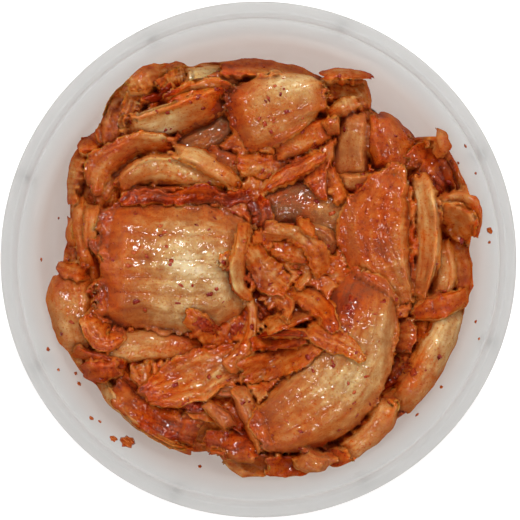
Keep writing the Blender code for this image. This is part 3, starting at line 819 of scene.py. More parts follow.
def lay_side_stem(bed, stems, leaves):
    """The stem with lengthwise ribs on the right, and the strips by it."""
    cut_piece(bed, stems, [(52.5, 5, 2.8, .50, 1), (54, -1, 3.4, .42, 1.4),
                           (54.5, -6, 3.2, .44, 1.4), (52.5, -11.5, 2.6, .48, 1)],
              **dict(STEM, arch=45.0, thick=1.8), ribs=2, rib_depth=.3, seed=62)
    cut_piece(bed, leaves, [(46, -15.5, 2.0, .72, 1.4), (51, -13.8, 3.2, .70, 2.0),
                            (56, -12, 2.8, .66, 2.0), (59.5, -10, 1.6, .66, 1.4)],
              **dict(LEAF, arch=45.0, folds=1.5, fold_deg=26.0, ruffle=.2), seed=63)
    cut_piece(bed, leaves, [(41, -17, 2.6, .66, .4), (42.5, -22, 3.0, .62, .6),
                            (41, -27, 2.4, .72, 0)],
              **dict(LEAF, folds=2.0, fold_deg=24.0), grey=.3, seed=64)
    cut_piece(bed, stems, [(46.5, 24.5, 2.4, .40, 2.2), (48.4, 17, 3.9, .34, 3.0),
                           (49.3, 7, 4.0, .38, 3.2), (48.6, -2, 3.3, .38, 2.6),
                           (46.5, -11, 2.2, .50, 1.6)],
              **dict(STEM, arch=30.0, thick=2.0), ribs=3, rib_depth=.3, seed=65)
    cut_piece(bed, stems, [(40.5, 26.5, (3.6, 3.2), .58, 2.2),
                           (38, 19, (8.5, 6.0), .60, 3.2),
                           (36.5, 10, (13.5, 7.6), .58, 3.8),
                           (37.5, 2, (12.5, 6.8), .58, 3.4),
                           (40.5, -6, (6.0, 4.0), .50, 2.6),
                           (42.5, -12.5, (2.0, 2.4), .52, 1.8)],
              arch=22.0, thick=2.8, ribs=4, rib_depth=.25, crumple=.9,
              crumple_size=5.0, creases=.4, crease_size=(12.0, 3.5), ragged=.9,
              tips=(.6, .7), drape=.2, reach=2.5, sink=.6, edge_tone=.08,
              valley_sauce_and_shade=.06, grey=.15, seed=66)


def lay_front_left(bed, stems, leaves):
    """Stems and leaves below the big stem."""
    cut_piece(bed, leaves, [(-48, -7, 2.2, .80, .2), (-46, -11, 2.6, .86, .4),
                            (-46.5, -16, 2.4, .78, .4)],
              **dict(LEAF, crumple=.9), seed=70)
    cut_piece(bed, stems, [(-46.5, 3.5, 1.6, .60, 1), (-43, -1.5, 2.6, .50, 1.6),
                           (-39.5, -5.5, 2.6, .48, 1.6), (-35.5, -8.5, 1.6, .56, 1)],
              **dict(STEM, arch=50.0, thick=1.4), ribs=2, rib_depth=.3, seed=71)
    cut_piece(bed, stems, [(-48, -26.5, 3.4, .44, .6), (-40, -25.4, 4.8, .38, 1.0),
                           (-32, -24.8, 4.8, .42, 1.0), (-24, -25.2, 4.0, .54, .6),
                           (-16, -26, 2.6, .60, .4)],
              **dict(STEM, arch=65.0, thick=2.4), seed=72)
    cut_piece(bed, leaves, [(-53.5, -26.8, 1.4, .66, .8), (-49, -28, 2.2, .76, 1.0),
                            (-44, -29.6, 1.8, .74, .8), (-39, -30.2, 1.4, .80, .6)],
              **dict(LEAF, arch=50.0, folds=0.0, ruffle=.2), seed=73)
    cut_piece(bed, leaves, [(-51.5, -33, 2.6, .70, .2), (-46.5, -32.4, 3.4, .76, .6),
                            (-41, -31.6, 2.6, .72, .4)],
              **dict(LEAF, ragged=1.1), seed=74)
    cut_piece(bed, leaves, [(-49.5, -16, 3.0, .62, 1.0), (-47.5, -20.5, 4.2, .66, 1.6),
                            (-44, -23.5, 3.6, .68, 1.4), (-39.5, -22.3, 2.4, .72, .8)],
              **dict(LEAF, folds=2.5, fold_deg=40.0, crumple=1.0, crumple_size=2.2,
                     ruffle=.5), seed=75)
    cut_piece(bed, leaves, [(-34.5, -29.5, 3.2, .58, .4), (-33.4, -33.5, 3.6, .54, .6),
                            (-32.5, -37.5, 2.2, .56, .2)],
              **dict(LEAF, folds=1.5, fold_deg=22.0, ruffle=.2), seed=76)
    # Between the stems at the front.
    cut_piece(bed, leaves, [(-22, -42.5, 2.2, .86, 0), (-17, -41.5, 2.6, .92, .2),
                            (-13, -40, 2.2, .86, 0)],
              **dict(LEAF, arch=30.0, folds=1.0), seed=77)
    cut_piece(bed, leaves, [(-11.5, -39.5, 2.0, .62, .2), (-7.5, -43, 3.4, .60, .6),
                            (-4.5, -48, 2.8, .68, .2)],
              **dict(LEAF, folds=2.0, fold_deg=26.0), seed=78)
    cut_piece(bed, stems, [(-16, -41.3, 1.6, .64, .6), (-11.5, -44.8, 2.3, .62, .8),
                           (-7.6, -49, 2.4, .62, .6)],
              **dict(STEM, arch=30.0, thick=1.2), ribs=2, rib_depth=.2, grey=.4,
              seed=79)
    cut_piece(bed, stems, [(-13.5, -37.6, 1.6, .80, .6), (-9.5, -38, 2.1, .72, .8),
                           (-5, -37.6, 1.8, .78, .6)],
              **dict(STEM, arch=45.0, thick=1.8), ribs=2, rib_depth=.25, grey=.7,
              seed=80)
    cut_piece(bed, leaves, [(-33, -39.5, 3.4, .54, 1.2), (-25, -36.8, 6.6, .50, 2.2),
                            (-16, -32.6, 7.0, .46, 2.8), (-8, -29.2, 5.4, .56, 2.8),
                            (-1, -25.2, 2.6, .58, 2.4)],
              **dict(LEAF, thick=1.2, arch=26.0, folds=5.0, fold_deg=32.0, drift=.35,
                     ruffle=.4, crumple=.3, tips=(.55, .6)), valley_sauce_and_shade=.12, seed=81)
    cut_piece(bed, leaves, [(-9, -31.5, 2.4, .58, 3.4), (-4, -26.5, 2.1, .54, 3.8),
                            (-2.2, -20.5, 1.7, .52, 4.0), (-2.0, -14.5, 1.3, .54, 3.6),
                            (-3.6, -9.5, 1.3, .52, 3.0)],
              **dict(LEAF, arch=60.0, folds=1.0, fold_deg=16.0, ruffle=.1, ragged=.2),
              seed=82)


def lay_front_stem(bed, stems, leaves):
    """The largest stem, in front on the right, with a thinner stem beside it."""
    cut_piece(bed, stems, [(-6, -36.5, 2.2, .48, .4), (-3, -43, 3.2, .40, .8),
                           (0, -50, 3.0, .44, .6), (2.5, -56, 2.0, .56, .2)],
              **dict(STEM, arch=35.0, thick=1.8), ribs=3, rib_depth=.3, grey=.2,
              seed=83)
    cut_piece(bed, stems, [(-1.5, -50.5, (7.0, 4.0), .58, 1.0),
                           (8, -44.5, (13.0, 8.0), .54, 2.2),
                           (19, -36, (15.5, 10.5), .36, 3.2),
                           (26, -26, (14.0, 11.5), .36, 3.4),
                           (31, -14, (9.5, 11.0), .54, 2.8),
                           (33, -4, (4.6, 7.0), .56, 1.8)],
              arch=40.0, thick=3.2, ribs=6, rib_depth=.45, crumple=.5,
              crumple_size=8.0, creases=.1, ragged=.6, tips=(.7, .75), drape=.1,
              reach=3.0, sink=.7, edge_tone=.14, valley_sauce_and_shade=.08, grey=.3, seed=84)


def lay_top_leaves(bed, stems, leaves):
    """Leaves that lie over the big stems in the middle."""
    cut_piece(bed, leaves, [(-40, 16.4, 2.0, .68, .2), (-33, 18.8, 2.6, .76, .4),
                            (-25, 18.2, 2.4, .80, .4), (-17, 19.3, 2.8, .84, .4),
                            (-9, 17.6, 2.6, .84, .4), (-2, 18.8, 2.4, .80, .3)],
              **dict(LEAF, folds=2.0, crumple=.9, crumple_size=2.4, ragged=1.7),
              seed=42)
    cut_piece(bed, leaves, [(-5.5, -33, 3.4, .60, .6), (3, -30.5, 4.6, .62, 1.0),
                            (11, -27, 4.8, .62, 1.0), (18, -22.5, 3.6, .60, .6)],
              **dict(LEAF, folds=5.0, fold_deg=34.0, ruffle=.6, crumple=.8,
                     crumple_size=2.6), seed=85)
    cut_piece(bed, leaves, [(-2, -24, 2.6, .72, .2), (6, -23.5, 3.0, .76, .2),
                            (14, -22, 2.6, .72, .2)],
              **dict(LEAF, folds=2.0), seed=86)
    cut_piece(bed, leaves, [(14, -19, 3.0, .60, .6), (20, -23, 3.6, .58, .8),
                            (27, -25.5, 3.0, .60, .6), (31, -30, 1.6, .66, .2)],
              **dict(LEAF, folds=3.0, fold_deg=30.0, ragged=1.0), seed=87)
    cut_piece(bed, stems, [(0, -21.4, .9, .95, .4), (7, -21.2, 1.3, .97, .6),
                           (14, -21.8, .9, .92, .4)],
              **dict(STEM, arch=40.0, thick=1.0), seed=88)
    cut_piece(bed, leaves, [(2, -20, 2.6, .60, .8), (8, -17, 3.4, .56, 1.2),
                            (17, -13.6, 2.6, .56, 1.0)],
              **dict(LEAF, folds=4.0, fold_deg=36.0, ruffle=.3), seed=89)
    cut_piece(bed, leaves, [(8, -9.5, 2.4, .58, .8), (14, -11, 3.4, .56, 1.2),
                            (19.5, -16, 2.8, .58, 1.0), (22, -21, 1.6, .62, .6)],
              **dict(LEAF, folds=3.0, fold_deg=34.0, ruffle=.6, crumple=.9,
                     crumple_size=2.6), seed=90)
    cut_piece(bed, leaves, [(1, -13, 1.8, .56, 1.0), (5.5, -11.5, 2.4, .54, 1.4),
                            (8.6, -14, 2.2, .54, 1.2), (7, -18.5, 1.4, .60, .8)],
              **dict(LEAF, arch=30.0, folds=2.0, ruffle=.4, crumple=.8,
                     crumple_size=2.6), seed=91)
    cut_piece(bed, leaves, [(-10.5, 1, 2.6, .60, .4), (-8, -1.5, 2.8, .62, .6)],
              **dict(LEAF, thick=.6, folds=0.0, crumple=.15), seed=92)
    cut_piece(bed, leaves, [(-2.5, 4, 2.4, .56, .8), (0, -1, 4.2, .54, 1.4),
                            (3.5, -5, 5.2, .54, 1.6), (8, -8.5, 3.4, .56, 1.4)],
              **dict(LEAF, arch=20.0, folds=3.0, fold_deg=34.0, ruffle=.6,
                     crumple=.9, crumple_size=2.6), seed=93)
    cut_piece(bed, leaves, [(-4.5, 10, 1.4, .54, 1.4), (-5.2, 4, 1.9, .52, 2.0),
                            (-6.2, -2, 2.1, .52, 2.2), (-5.4, -7.5, 2.0, .54, 2.0),
                            (-2.8, -11, 1.5, .56, 1.6)],
              **dict(LEAF, arch=40.0, folds=2.0, fold_deg=30.0, ruffle=.3,
                     crumple=.8, crumple_size=2.6, ragged=.8), seed=94)
    cut_piece(bed, leaves, [(9, -1.5, 1.2, .56, 1.2), (12.5, -.6, 1.8, .54, 1.6),
                            (14.2, -4, 1.8, .54, 1.6), (11.4, -8, 1.4, .56, 1.2)],
              **dict(LEAF, arch=30.0, folds=1.0, ruffle=.4, crumple=.8,
                     crumple_size=2.6), seed=95)
    cut_piece(bed, leaves, [(5, 3.5, 2.6, .60, .8), (9.5, 2.5, 3.4, .58, 1.2),
                            (14, 1, 3.0, .60, 1.2)],
              **dict(LEAF, folds=1.0, fold_deg=20.0, ruffle=.2), seed=96)
    cut_piece(bed, leaves, [(.8, 9.6, 1.6, .54, 1.8), (6, 8.4, 2.0, .46, 2.6),
                            (11.5, 7.4, 2.3, .48, 3.0), (15.6, 3.6, 2.6, .52, 3.0),
                            (18.2, -1.5, 3.4, .58, 2.6), (19.5, -5.5, 3.0, .62, 1.8)],
              **dict(LEAF, arch=26.0, folds=2.0, fold_deg=32.0, ruffle=.5,
                     crumple=.9, crumple_size=2.6, ragged=1.2), seed=97)
    cut_piece(bed, leaves, [(12.5, 11.8, 1.2, .58, 1.4), (13.5, 9.6, 1.5, .56, 1.6),
                            (16, 7.4, 1.2, .60, 1.2)],
              **dict(LEAF, arch=50.0, folds=0.0, ruffle=0.0), seed=98)
    cut_piece(bed, leaves, [(-20.5, -16.5, 2.4, .62, .8), (-16.5, -19.5, 3.4, .66, 1.0),
                            (-14, -24, 1.8, .60, .6)],
              **dict(LEAF, thick=.8, arch=35.0, folds=1.0, crumple=.8), seed=99)


def lay_heap(bed):
    stems = Group()
    leaves = Group()
    under = Group()
    lay_filler(bed, under)
    bed.covered[:] = 0.0
    lay_skirt(bed, under)
    lay_wall_pieces(bed, stems, leaves)
    lay_back_pieces(bed, stems, leaves)
    lay_upper_left(bed, stems, leaves)
    lay_middle(bed, stems, leaves)
    lay_front_left(bed, stems, leaves)
    lay_side_stem(bed, stems, leaves)
    lay_pale_stem(bed, stems)
    lay_big_stem(bed, stems)
    lay_front_stem(bed, stems, leaves)
    lay_top_leaves(bed, stems, leaves)
    return stems, leaves, under


# ---------------------------------------------------------------- core and tub

def triangles(rows, columns):
    """Triangles of a grid whose columns close round, row after row."""
    index = np.arange(rows * columns).reshape(rows, columns)
    after = np.roll(index, -1, axis=1)
    a, b = index[:-1].ravel(), after[:-1].ravel()
    c, d = after[1:].ravel(), index[1:].ravel()
    return np.concatenate([np.stack([a, d, c], axis=1), np.stack([a, c, b], axis=1)])


def pulp_top(bed, x, y):
    """Shreds and sauce that close the gaps between the pieces laid so far."""
    near = round(2.2 / MAP_CELL)
    wide = round(3.8 / MAP_CELL)
    level = np.maximum(box_blur(box_blur(bed.top, near), near) - 0.7,
                       box_blur(box_blur(widen(bed.top, 1), wide), wide) - 2.0)
    line = (np.arange(2 * bed.half + 1) - bed.half) * MAP_CELL
    cell_x, cell_y = np.meshgrid(line, line, indexing="ij")
    bare = core_top(cell_x, cell_y)
    inland = np.maximum(wall_radius(bare) - np.hypot(cell_x, cell_y), 0.0)
    level = np.minimum(level, bare + 0.3 + 0.8 * inland)
    beside = widen(np.where(bed.covered > 0.5, bed.top, 0.0), 2) - 3.0
    level = np.maximum(level, beside)
    level = np.where(bed.covered > 0.5, np.minimum(bed.top - 0.9, level + 4.0), level)
    bent_x = x + 1.6 * rough(x / 5.0, y / 5.0, 31)
    bent_y = y + 1.6 * rough(x / 5.0, y / 5.0, 32)
    rise = bed.read(level, x, y)
    fold = rough(bent_x / 5.5, bent_y / 4.0, 33, 2)
    crease = (1.0 - np.minimum(1.0, 2.2 * np.abs(fold))) ** 2
    lumps = rough(x / 1.6, y / 1.6, 34, 2)
    return rise - 0.9 * crease + 0.35 * lumps, crease


def lay_core(bed):
    """The wet mass under the cut pieces: it fills the tub's lower part."""
    columns = 540
    angle = np.arange(columns) / columns * math.tau
    share = np.linspace(0.01, 1.0, 100)
    shore = shore_height(angle)
    edge_r = wall_radius(shore) + 0.15
    r = share[:, None] * edge_r
    x, y = r * np.cos(angle), r * np.sin(angle)
    z, crease = pulp_top(bed, x, y)
    z = np.minimum(z, HEIGHT - 1.0 - CAMERA_H * (r / shore_seen(angle) - 1.0))
    z[-1] = shore
    down = np.linspace(0.0, 1.0, 50)[1:, None]
    floor_z = FLOOR_T + 0.15
    side_z = shore + (floor_z + 4.0 - shore) * down
    side_r = wall_radius(side_z) + 0.12
    turn = np.linspace(0.0, 0.5 * math.pi, 8)[1:, None]
    foot_r = wall_radius(floor_z + 4.0) + 0.12 - 4.0 * (1.0 - np.cos(turn))
    foot_z = floor_z + 4.0 - 4.0 * np.sin(turn) + 0.0 * angle
    flat_r = (wall_radius(floor_z + 4.0) - 4.0) * np.linspace(1.0, 0.02, 12)[1:, None]
    all_r = np.concatenate([r, side_r, foot_r + 0 * angle, flat_r + 0 * angle])
    all_z = np.concatenate([z, side_z, foot_z, floor_z + 0 * flat_r + 0 * angle])
    points = np.stack([all_r * np.cos(angle), all_r * np.sin(angle), all_z],
                      axis=-1).reshape(-1, 3)
    ends = np.array([[0.0, 0.0, all_z[0].mean()], [0.0, 0.0, floor_z]])
    rows = len(all_r)
    ring = np.arange(columns)
    ahead = np.roll(ring, -1)
    cap = np.stack([np.full(columns, rows * columns), ring, ahead], axis=1)
    base = (rows - 1) * columns
    plug = np.stack([np.full(columns, rows * columns + 1), ahead + base, ring + base],
                    axis=1)
    faces = np.concatenate([triangles(rows, columns), cap, plug])

    # Leaves pressed against the wall show as patches of different tone.
    around_mm = angle * 62.0 + 0.0 * all_z
    bend = 0.3 * hills(around_mm / 9.0, all_z / 9.0, 3)
    patch = rough(around_mm / 13.0, all_z / 8.0 + bend, 21, 2)
    tone = 0.78 - 0.34 * smooth_step(patch, -0.1, 0.35)
    # Painted shade: the top of the pulp is made redder and darker in its creases.
    tone[:len(r)] = 0.56 + 0.25 * crease + 0.12 * rough(x / 4.0, y / 4.0, 35)
    grain = np.stack([all_z * 1.6 + 0.5 * around_mm, around_mm, 0.0 * all_z], axis=-1)
    grain[:len(r)] = np.stack([x, y, z], axis=-1)
    core = Group()
    core.add(np.concatenate([points, ends]), faces,
             np.concatenate([tone.ravel(), [0.9, 0.9]]), 0.0,
             np.concatenate([grain.reshape(-1, 3), ends]))
    return core


def arc(middle, radius, start_deg, end_deg, count):
    """Points on an arc, as (radius, height) pairs."""
    turn = np.radians(np.linspace(start_deg, end_deg, count + 1))
    return [(middle[0] + radius * math.cos(a), middle[1] + radius * math.sin(a))
            for a in turn]


def tub_profile():
    """The tub's section: floor, wall, bead, lid groove, flange, skirt, outside."""
    lean = math.degrees(DRAFT)
    middle_z = WALL_T + 4.0
    middle_r = wall_radius(middle_z) - 4.0 / math.cos(DRAFT)
    low_r = wall_radius(10.0)
    points = [(0.0, WALL_T), (20.0, WALL_T), (40.0, WALL_T),
              *arc((middle_r, middle_z), 4.0, -90, -lean, 10), (low_r, 10.0)]
    points += [(wall_radius(z), z) for z in np.linspace(14.0, HEIGHT - 1.2, 30)]
    bead = 0.45
    groove_r = MOUTH_R + 2 * bead
    flange_r = groove_r + 2.0
    flange_z = HEIGHT - 0.4
    points += arc((MOUTH_R + bead, HEIGHT - bead), bead, 180, 0, 10)
    points += [(groove_r + 0.12, HEIGHT - 0.8), (groove_r + 0.35, HEIGHT - 0.9),
               (flange_r - 0.6, HEIGHT - 0.9), (flange_r - 0.3, HEIGHT - 0.8),
               (flange_r - 0.1, flange_z - 0.1), (flange_r + 0.15, flange_z)]
    points += arc((RIM_R - 0.8, flange_z - 0.8), 0.8, 90, 0, 8)
    foot_z = flange_z - 5.0
    points += [(RIM_R, foot_z + 0.15), (RIM_R - 0.15, foot_z),
               (RIM_R - 0.95, foot_z), (RIM_R - 1.1, foot_z + 0.15)]
    under_z = HEIGHT - 0.9 - WALL_T
    outer_t = WALL_T / math.cos(DRAFT)
    points += [(RIM_R - 1.1, under_z - 0.3), (RIM_R - 1.4, under_z),
               (wall_radius(under_z) + outer_t + 0.3, under_z)]
    points += [(wall_radius(z) + outer_t, z) for z in np.linspace(under_z - 0.4, 4.0, 30)]
    corner = 2.4
    middle_r = wall_radius(corner) + outer_t - corner / math.cos(DRAFT)
    points += [*arc((middle_r, corner), corner, -lean, -90, 8), (50.6, 0.0),
               (50.3, 0.1), (50.0, 0.5), (49.6, 0.6), (25.0, 0.6), (0.0, 0.6)]
    return points


def build_tub():
    """The tub turned as one fine mesh, with webs under its flange."""
    profile = tub_profile()
    columns = 288
    angle = np.arange(columns) / columns * math.tau
    section = np.array(profile[1:-1])
    points = np.stack([section[:, 0:1] * np.cos(angle), section[:, 0:1] * np.sin(angle),
                       section[:, 1:2] + 0.0 * angle], axis=-1).reshape(-1, 3)
    rows = len(section)
    ends = np.array([[0.0, 0.0, profile[0][1]], [0.0, 0.0, profile[-1][1]]])
    ring = np.arange(columns)
    ahead = np.roll(ring, -1)
    cap = np.stack([np.full(columns, rows * columns), ring, ahead], axis=1)
    base = (rows - 1) * columns
    plug = np.stack([np.full(columns, rows * columns + 1), ahead + base, ring + base],
                    axis=1)
    faces = np.concatenate([triangles(rows, columns), cap, plug])
    tub = Group()
    points = np.concatenate([points, ends])
    tub.add(points, faces, np.zeros(len(points)), 0.0, np.zeros_like(points))
    for web in range(8):
        add_web(tub, math.radians(25.5) + math.tau * web / 8)
    return build_mesh("tub_shell", tub)


def add_web(tub, angle):
    """One stiffening web between the wall and the flange's skirt."""
    low_z, top_z = HEIGHT - 4.4, HEIGHT - 2.05
    inner_r = wall_radius(top_z) + WALL_T
    outer_r = RIM_R - 1.05
    corners = [(r, s, z) for r in (inner_r, outer_r) for s in (-0.5, 0.5)
               for z in (low_z, top_z)]
    points = np.array([(r * math.cos(angle) - s * math.sin(angle),
                        r * math.sin(angle) + s * math.cos(angle), z)
                       for r, s, z in corners])
    quads = np.array([(0, 1, 3, 2), (4, 6, 7, 5), (0, 4, 5, 1), (2, 3, 7, 6),
                      (0, 2, 6, 4), (1, 5, 7, 3)])
    faces = np.concatenate([quads[:, [0, 1, 2]], quads[:, [0, 2, 3]]])
    tub.add(points, faces, np.zeros(8), 0.0, np.zeros((8, 3)))


# ---------------------------------------------------------------- small things

def drop(items, x, y):
    """Height and normal, in millimetres, of the highest surface over a point."""
    best = None
    for item in items:
        hit, place, normal, _ = item.ray_cast((x * MM, y * MM, 0.1), (0.0, 0.0, -1.0))
        if hit and (best is None or place.z > best[0]):
            best = (place.z, normal)
    if best is None:
        return None
    return best[0] / MM, np.array(best[1])


def add_flake(group, items, x, y, size, rng, tone):
    """One chilli flake lying on the heap, a thin plate that follows it."""
    found = drop(items, x, y)
    if found is None or found[1][2] < 0.25:
        return
    z, normal = found
    turn = rng.uniform(0.0, math.tau)
    first = np.cross(normal, [math.cos(turn), math.sin(turn), 0.0])
    first /= np.linalg.norm(first)
    second = np.cross(normal, first)
    count = 8
    spread = rng.uniform(0.45, 1.15, count)
    stretch = rng.uniform(0.4, 1.0)
    rim = []
    for k in range(count):
        a = math.tau * k / count
        place = (np.array([x, y, z]) + first * math.cos(a) * size * spread[k]
                 + second * math.sin(a) * size * spread[k] * stretch)
        below = drop(items, place[0], place[1])
        if below is not None and abs(below[0] - place[2]) < 0.5 * size:
            place[2] = below[0]
        rim.append(place + normal * 0.12)
    rim = np.array(rim)
    middle = np.array([[x, y, z]]) + normal * (0.2 + 0.06 * size)
    low = np.array([[x, y, z]]) - normal * 0.25
    points = np.concatenate([rim, rim - normal * 0.25, middle, low])
    k = np.arange(count)
    j = np.roll(k, -1)
    faces = np.concatenate([
        np.stack([k, j, np.full(count, 2 * count)], axis=1),
        np.stack([j + count, k + count, np.full(count, 2 * count + 1)], axis=1),
        np.stack([k, k + count, j + count], axis=1),
        np.stack([k, j + count, j], axis=1)])
    group.add(points, faces, np.full(len(points), tone), 0.0, points * 1.0)


def add_patch(group, items, x, y, half_x, half_y, turn_deg, height, seed):
    """Paste smeared over the heap: a grainy layer with a ragged outline."""
    turn = math.radians(turn_deg)
    nu, nv = int(half_x * 5) + 3, int(half_y * 5) + 3
    s, t = np.meshgrid(np.linspace(-1, 1, nu), np.linspace(-1, 1, nv), indexing="ij")
    u = s * np.sqrt(1.0 - t * t / 2.0)
    v = t * np.sqrt(1.0 - s * s / 2.0)
    angle = np.arctan2(v, u)
    stretch = 1.0 + 0.45 * rough(np.cos(angle) * 1.6 + 5, np.sin(angle) * 1.6 + 5, seed)
    u, v = u * half_x * stretch, v * half_y * stretch
    px = x * SPREAD + u * math.cos(turn) - v * math.sin(turn)
    py = y * SPREAD + u * math.sin(turn) + v * math.cos(turn)
    level = np.zeros(px.shape)
    missing = []
    for i in range(nu):
        for j in range(nv):
            found = drop(items, px[i, j], py[i, j])
            if found is None:
                missing.append((i, j))
            else:
                level[i, j] = found[0]
    for i, j in missing:
        level[i, j] = level.max()
    smooth = box_blur(level, 1)
    level = np.maximum(smooth, level - 0.4)
    edge = 1.0 - np.maximum(np.abs(s), np.abs(t))
    lumps = np.abs(rough(px / 0.9, py / 0.9, seed + 1)) * 0.5
    body = height * smooth_step(rough(px / 2.6, py / 2.6, seed + 2), -0.5, 0.5) + lumps
    body = body * smooth_step(edge, -0.05, 0.6)
    top = np.stack([px, py, level + body - 0.45], axis=-1)
    low = np.stack([px, py, level - 0.8], axis=-1)
    points = np.concatenate([top.reshape(-1, 3), low.reshape(-1, 3)])
    quads = slab_faces(nu, nv)
    faces = np.concatenate([quads[:, [0, 1, 2]], quads[:, [0, 2, 3]]])
    group.add(points, faces, np.full(len(points), 0.9), 0.0, points * 1.0)


def add_spot(group, x, y, radius, rng, tone=0.8):
    """A drop of sauce on the wall, placed where it shows from above."""
    r = math.hypot(x, y)
    angle = math.atan2(y, x)
    depth = (MOUTH_R - r) / (math.tan(DRAFT) + r / CAMERA_H)
    z = HEIGHT - max(depth, 3.0)
    wall = np.array([wall_radius(z) * math.cos(angle), wall_radius(z) * math.sin(angle), z])
    inward = np.array([-math.cos(angle) * math.cos(DRAFT),
                       -math.sin(angle) * math.cos(DRAFT), math.sin(DRAFT)])
    level = np.array([-math.sin(angle), math.cos(angle), 0.0])
    rise = np.cross(level, inward)
    tall = min(rng.uniform(2.0, 3.4), (HEIGHT - 1.6 - z) / (1.2 * radius))
    count = 14
    rings = 4
    spread = 1.0 + 0.25 * rng.uniform(-1.0, 1.0, count)
    points = []
    for k in range(rings):
        share = 1.0 - k / rings
        high = 0.22 * radius * math.sqrt(max(0.0, 1.0 - share * share)) + 0.02
        for c in range(count):
            a = math.tau * c / count
            # Follows the wall's curve to the sides.
            away = math.cos(a) * radius * spread[c] * share
            sag = away * away / (2.0 * r)
            points.append(wall + level * away + inward * (high + sag)
                          + rise * math.sin(a) * radius * spread[c] * share * tall)
    points.append(wall + inward * (0.22 * radius + 0.03))
    points.append(wall - inward * 0.2)
    index = np.arange(rings * count).reshape(rings, count)
    after = np.roll(index, -1, axis=1)
    a, b = index[:-1].ravel(), after[:-1].ravel()
    c, d = after[1:].ravel(), index[1:].ravel()
    top = rings * count
    ring = index[-1]
    base = index[0]
    faces = np.concatenate([
        np.stack([a, b, c], axis=1), np.stack([a, c, d], axis=1),
        np.stack([ring, np.roll(ring, -1), np.full(count, top)], axis=1),
        np.stack([np.roll(base, -1), base, np.full(count, top + 1)], axis=1)])
    points = np.array(points)
    group.add(points, faces, np.full(len(points), tone), 0.0, points * 1.0)


# ---------------------------------------------------------------- materials

def linear(red, green, blue):
    """Linear colour from the usual 0-255 display values."""
    values = np.array([red, green, blue]) / 255.0
    low = values / 12.92
    high = ((values + 0.055) / 1.055) ** 2.4
    return tuple(float(v) for v in np.where(values <= 0.04045, low, high)) + (1.0,)


class Shader:
    """A node material with one Principled shader, and short ways to wire it."""

    def __init__(self, name):
        self.material = bpy.data.materials.new(name)
        self.material.use_nodes = True
        self.tree = self.material.node_tree
        self.shader = self.tree.nodes["Principled BSDF"]

    def new(self, kind, **settings):
        node = self.tree.nodes.new(kind)
        for key, value in settings.items():
            setattr(node, key, value)
        return node

    def link(self, source, target):
        self.tree.links.new(source, target)

    def put(self, socket, value):
        if isinstance(value, bpy.types.NodeSocket):
            self.link(value, socket)
        else:
            socket.default_value = value

    def attribute(self, name, output="Fac"):
        return self.new("ShaderNodeAttribute", attribute_name=name).outputs[output]

    def math(self, operation, a, b=0.0, c=0.0):
        node = self.new("ShaderNodeMath", operation=operation)
        for socket, value in zip(node.inputs, (a, b, c)):
            self.put(socket, value)
        return node.outputs[0]

    def scaled(self, vector, scale):
        node = self.new("ShaderNodeVectorMath", operation="MULTIPLY")
        self.link(vector, node.inputs[0])
        node.inputs[1].default_value = scale
        return node.outputs[0]

    def noise(self, vector, scale=1.0, detail=2.0, roughness=0.5):
        node = self.new("ShaderNodeTexNoise")
        self.link(vector, node.inputs["Vector"])
        node.inputs["Scale"].default_value = scale
        node.inputs["Detail"].default_value = detail
        node.inputs["Roughness"].default_value = roughness
        return node.outputs["Fac"]

    def spread(self, value, low, high, to_low, to_high):
        node = self.new("ShaderNodeMapRange")
        self.link(value, node.inputs["Value"])
        for key, number in (("From Min", low), ("From Max", high),
                            ("To Min", to_low), ("To Max", to_high)):
            node.inputs[key].default_value = number
        return node.outputs["Result"]

    def ramp(self, value, stops):
        node = self.new("ShaderNodeValToRGB")
        self.link(value, node.inputs[0])
        elements = node.color_ramp.elements
        while len(elements) < len(stops):
            elements.new(0.5)
        for element, (place, colour) in zip(elements, stops):
            element.position = place
            element.color = colour
        return node.outputs["Color"]

    def mix(self, factor, a, b):
        node = self.new("ShaderNodeMix", data_type="RGBA")
        self.put(node.inputs[0], factor)
        self.put(node.inputs[6], a)
        self.put(node.inputs[7], b)
        return node.outputs[2]

    def bump(self, height, distance, before=None):
        node = self.new("ShaderNodeBump")
        node.inputs["Strength"].default_value = 1.0
        node.inputs["Distance"].default_value = distance * MM
        self.link(height, node.inputs["Height"])
        if before is not None:
            self.link(before, node.inputs["Normal"])
        return node.outputs["Normal"]


TONES = (
    (0.00, linear(226, 206, 166)),
    (0.15, linear(212, 179, 126)),
    (0.30, linear(199, 150, 94)),
    (0.45, linear(189, 121, 64)),
    (0.60, linear(186, 93, 30)),
    (0.75, linear(178, 69, 12)),
    (0.90, linear(156, 48, 6)),
    (1.00, linear(122, 27, 4)),
)


